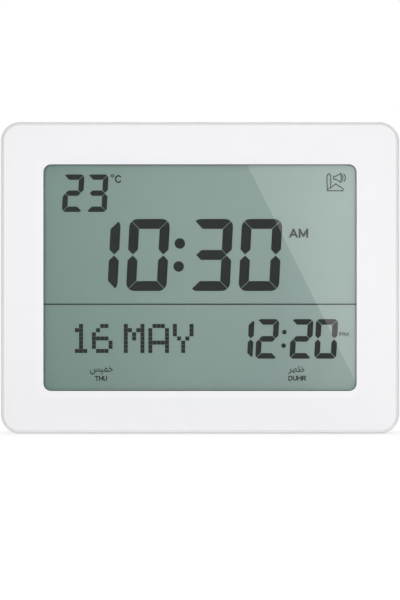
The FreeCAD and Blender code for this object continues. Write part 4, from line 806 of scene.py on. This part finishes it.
def draw_call_icon(left, base):
    """A slim tower on a rise, beside a horn that sends out sound."""
    tower = [(1.0, 0.5), (1.0, 5.2), (0.6, 5.7), (1.0, 6.4), (0.8, 8.4), (1.0, 9.4), (1.9, 10.4), (2.9, 9.4)]
    tower += [(3.1, 8.4), (2.8, 6.4), (3.3, 5.7), (3.0, 5.2), (3.0, 2.4)]
    rise = [(1.0, 0.5), (10.0, 0.5), (10.4, 1.2), (9.2, 2.4), (7.5, 3.3), (5.9, 4.5), (3.9, 2.8), (1.2, 1.4)]
    horn = [(4.7, 7.2), (4.7, 8.8), (5.8, 8.8), (9.0, 10.6), (9.0, 5.4), (5.8, 7.2), (4.7, 7.2)]
    waves = [arc((7.4, 8.0), (reach, reach * 0.85), -42, 42, 8) for reach in (2.7, 4.1)]
    lines = [tower, rise, horn, *waves]
    placed = [([(left + x, base + z) for x, z in points], ICON_STROKE) for points in lines]
    on_display("mark_call", draw_bands("mark_call", placed))


# Each word of the display: name, letters, left, base, height, width and stroke in millimetres of the window.
WORDS = [
    ("mark_morning", "AM", 142.0, 88.6, 5.3, 11.05, 1.1),
    ("mark_afternoon", "PM", 171.2, 31.6, 2.4, 5.2, 0.4),
    ("mark_celsius", "C", 41.2, 120.3, 4.6, 4.0, 0.8),
    ("mark_weekday", "THU", 29.7, 5.8, 2.9, 7.1, 0.6),
    ("mark_prayer", "DUHR", 141.6, 5.9, 2.9, 10.2, 0.6),
]
# The Arabic words, without a stroke: a heavier weight than this one breaks their outlines.
JOINED_WORDS = [
    ("mark_weekday_arabic", "\ufeb2\ufef4\ufee4\ufea7", 26.9, 9.5, 5.2, 13.2),
    ("mark_prayer_arabic", "\ufeae\ufeec\ufec7", 141.4, 9.8, 4.7, 9.4),
]
JOINED_WEIGHT, JOINED_STEPS = 0.008, 3  # the outline's growth, and the steps in a curve of it
DEGREE_MIDDLE, DEGREE_RADIUS, DEGREE_STROKE = (39.9, 124.4), 0.75, 0.5
ICON_CORNER, ICON_STROKE = (163.1, 115.3), 0.6

for name, *word in WORDS:
    on_display(name, draw_bands(name, letter_lines(*word)))
for word in JOINED_WORDS:
    write_joined(*word)
degree = arc(DEGREE_MIDDLE, (DEGREE_RADIUS, DEGREE_RADIUS), 0, 360)
on_display("mark_degree", draw_bands("mark_degree", [(degree, DEGREE_STROKE)]))
draw_call_icon(*ICON_CORNER)


# Printed marks on the back, in millimetres to the right and up as seen from behind.

PRINT_DEPTH = 0.03 * MM
KEY_TRAY_DEPTH = 1.2 * MM
SYMBOL_STROKE = 0.32
LABEL_RISE, LABEL_HEIGHT, LABEL_STROKE = 4.85, 1.45, 0.24  # the rise is from the key's middle to the word's
INK = Paint("ink_grey", (0.045, 0.047, 0.05), 0.5).mottle(0.15, 2500)


def print_marks(name, lines, middle, face, body, ink=INK):
    """Thin printed lines on a face that looks backwards."""

    def place(right, up):
        return Vector((middle.x - right * MM, face + PRINT_DEPTH, middle.z + up * MM))

    mesh = draw_bands(name, lines, place)
    thicken(mesh, -PRINT_DEPTH)
    add_piece(name, mesh, body, ink)


def ring(radius, steps=20):
    """A circle about the middle."""
    return arc((0, 0), (radius, radius), 0, 360, steps)


def spokes(inner, outer, count):
    """Short lines that point outwards all round."""
    turns = [2 * math.pi * i / count for i in range(count)]
    return [[(r * math.cos(t), r * math.sin(t)) for r in (inner, outer)] for t in turns]


TRIANGLE_HALF, TRIANGLE_DROP = 1.5, 0.7  # half the base, and its depth as a share of the tip's height


def triangle(tip):
    """A triangle whose tip lies this far up. Its base is drawn twice, so that every corner is full."""
    left, right = (-TRIANGLE_HALF, -tip * TRIANGLE_DROP), (TRIANGLE_HALF, -tip * TRIANGLE_DROP)
    return [left, right, (0, tip), left, right]


# Each key's word, and its symbol as lines about the key's middle.
SYMBOLS = {
    "mode": ("MODE", [ring(1.6), [(0, 1.0), (0, 0), (0.8, -0.35)]]),
    "set": ("SET", [ring(0.75), *spokes(1.1, 1.7, 8)]),
    "down": ("DOWN", [triangle(-1.4)]),
    "up": ("UP", [triangle(1.4)]),
    "volume": (
        "VOLUME",
        [
            [(-1.9, -0.5), (-1.9, 0.5), (-1.2, 0.5), (-0.2, 1.4), (-0.2, -1.4), (-1.2, -0.5), (-1.9, -0.5)],
            *[arc((-0.3, 0), (reach, reach), -45, 45, 8) for reach in (1.1, 1.9)],
        ],
    ),
    "azan": (
        "AZAN",
        [
            [(-1.5, -1.5), (1.5, -1.5)],
            [
                (1.05, -1.5),
                (1.05, -0.4),
                *arc((0, -0.4), (1.05, 1.15), 5, 175, 12),
                (-1.05, -0.4),
                (-1.05, -1.5),
            ],
            [(0, 0.75), (0, 1.7)],
        ],
    ),
}


def label_lines(word):
    """A key's word in plain capitals of their natural width, centred above the key."""
    gaps = (LETTER_GAP + LABEL_STROKE / LABEL_HEIGHT) * (len(word) - 1)
    shares = sum(LETTERS[letter][0] for letter in word) + gaps
    width = (LABEL_HEIGHT - LABEL_STROKE) * shares + LABEL_STROKE
    return letter_lines(word, -width / 2, LABEL_RISE - LABEL_HEIGHT / 2, LABEL_HEIGHT, width, LABEL_STROKE)


def mark_keys():
    """A symbol on each key cap, and its word on the tray above it."""
    for key, (word, symbol) in SYMBOLS.items():
        low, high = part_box(f"{key}_key")
        middle = (low + high) / 2
        lines = [(line, SYMBOL_STROKE) for line in symbol]
        print_marks(f"symbol_{key}", lines, middle, high.y, f"{key}_button")
        print_marks(f"label_{key}", label_lines(word), middle, BACK - KEY_TRAY_DEPTH, "case")


mark_keys()


# What the openings in the back show, and what a board carries, in millimetres.

HANGER_X = 80
POCKET_WALL, POCKET_HALF = 1.2, 7.0
POCKET_LOW, POCKET_HIGH = 141.5, 158.5
POCKET_FRONT, POCKET_BACK = 5.5, 12.5
POCKET_EDGE = 0.15

CHIP_LENGTH, CHIP_WIDTH, CHIP_HEIGHT = 2.0, 1.25, 0.5
CHIP_END = 0.4  # length of a metal end
CHIP_LIP = 0.03  # how far an end stands proud of the body
TALL_CHIP = 1.5  # every third chip is this much higher
CHIP_EDGE = 0.06
# Groups of chips: their places along x, and up.
CHIP_GROUPS = [
    ((-15, -12), range(102, 124, 3)),
    ((12.5, 15.5), range(105, 124, 3)),
    ((-56, -52.5, -38.5, -35), (108, 111.5, 115, 118.5)),
    ((14, 18, 22), (91, 93.5)),
    ((-20, -14, 14, 20, 26), (134, 137)),
]

OUTLINE_STROKE, SIGN_STROKE, SIGN_HALF = 0.2, 0.25, 0.7
# The board's print, to the right and up as seen from behind: outlines round parts, by two corners.
OUTLINES = [
    ((-23, 95.5), (-13, 100.5)),
    ((41, 108.5), (50, 119.5)),
    ((-43, 103), (-31, 109.5)),
    ((63, 103), (75, 109.5)),
]
CHIP_RING = (0, 112, 9.6, 48)  # middle to the right and up, radius, steps
CAPACITOR_RINGS = [(71.5, 130, 4.6, 32), (81.5, 130, 4.6, 32)]
MINUS_SIGNS = [(-29.5, 106.2), (76.5, 106.2)]
PLUS_SIGNS = [(-44.5, 106.2), (61.5, 106.2)]


def add_blocks(name, blocks, paints, edge):
    """One mesh of blocks with blunt edges. A block is (low corner, high corner, paint's index)."""
    drawing = bmesh.new()
    for low, high, which in blocks:
        low, high = Vector(low) * MM, Vector(high) * MM
        shape = Matrix.Translation((low + high) / 2) @ Matrix.Diagonal((*(high - low), 1))
        corners = bmesh.ops.create_cube(drawing, size=1, matrix=shape)["verts"]
        for face in {face for corner in corners for face in corner.link_faces}:
            face.material_index = which
    edges = list(drawing.edges)
    bmesh.ops.bevel(drawing, geom=edges, offset=edge * MM, segments=2, affect="EDGES", profile=0.5)
    mesh = bpy.data.meshes.new(name)
    for paint in paints:
        mesh.materials.append(paint.material)
    drawing.to_mesh(mesh)
    drawing.free()
    add_piece(name, mesh, "case")


def make_hanger_pockets():
    """A moulded cup behind each keyhole, for the head of the wall screw."""
    wall, half, low, high = POCKET_WALL, POCKET_HALF, POCKET_LOW, POCKET_HIGH
    front, inner, back = POCKET_FRONT, POCKET_FRONT + POCKET_WALL, POCKET_BACK
    blocks = []
    for x in (-HANGER_X, HANGER_X):
        blocks.append(((x - half, front, low), (x + half, inner, high), 0))
        for side in (-1, 1):
            edge = x + side * (half - wall / 2)
            blocks.append(((edge - wall / 2, inner, low), (edge + wall / 2, back, high), 0))
        for end in (low, high - wall):
            blocks.append(((x - half + wall, inner, end), (x + half - wall, back, end + wall), 0))
    add_blocks("hanger_pockets", blocks, [SHELL_PAINTS["rear_cover"]], POCKET_EDGE)


def make_small_parts():
    """Rows of chip resistors and capacitors round the larger parts of the main board."""
    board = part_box("main_board")[1].y / MM
    places = [(x, z) for across, up in CHIP_GROUPS for x in across for z in up]
    blocks = []
    for i, (x, z) in enumerate(places):
        top = board + (CHIP_HEIGHT if i % 3 else CHIP_HEIGHT * TALL_CHIP)
        left, right = x - CHIP_LENGTH / 2, x + CHIP_LENGTH / 2
        low, high = z - CHIP_WIDTH / 2, z + CHIP_WIDTH / 2
        blocks.append(((left + CHIP_END, board, low), (right - CHIP_END, top, high), i % 2))
        for start in (left, right - CHIP_END):
            corner = (start + CHIP_END, top + CHIP_LIP, high + CHIP_LIP)
            blocks.append(((start, board, low - CHIP_LIP), corner, 2))
    paints = [PAINTS["black_resin"], plastic("chip_tan", (0.42, 0.3, 0.17), 0.4), PAINTS["can_metal"]]
    add_blocks("board_small_parts", blocks, paints, CHIP_EDGE)


def outline(low, high):
    """A rectangle's four sides, by two corners."""
    (left, base), (right, top) = low, high
    return [(left, base), (left, top), (right, top), (right, base), (left, base)]


def print_board():
    """White printed outlines and signs round the main board's parts."""
    lines = [(outline(*corners), OUTLINE_STROKE) for corners in OUTLINES]
    for x, z, radius, steps in (CHIP_RING, *CAPACITOR_RINGS):
        lines.append(([(x + a, z + b) for a, b in ring(radius, steps)], OUTLINE_STROKE))
    for x, z in (*MINUS_SIGNS, *PLUS_SIGNS):
        lines.append(([(x - SIGN_HALF, z), (x + SIGN_HALF, z)], SIGN_STROKE))
    for x, z in PLUS_SIGNS:
        lines.append(([(x, z - SIGN_HALF), (x, z + SIGN_HALF)], SIGN_STROKE))
    ink = Paint("ink_white", (0.72, 0.72, 0.7), 0.5).mottle(0.1, 2500)
    print_marks("board_print", lines, Vector((0, 0, 0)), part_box("main_board")[1].y, "case", ink)


make_hanger_pockets()
make_small_parts()
print_board()
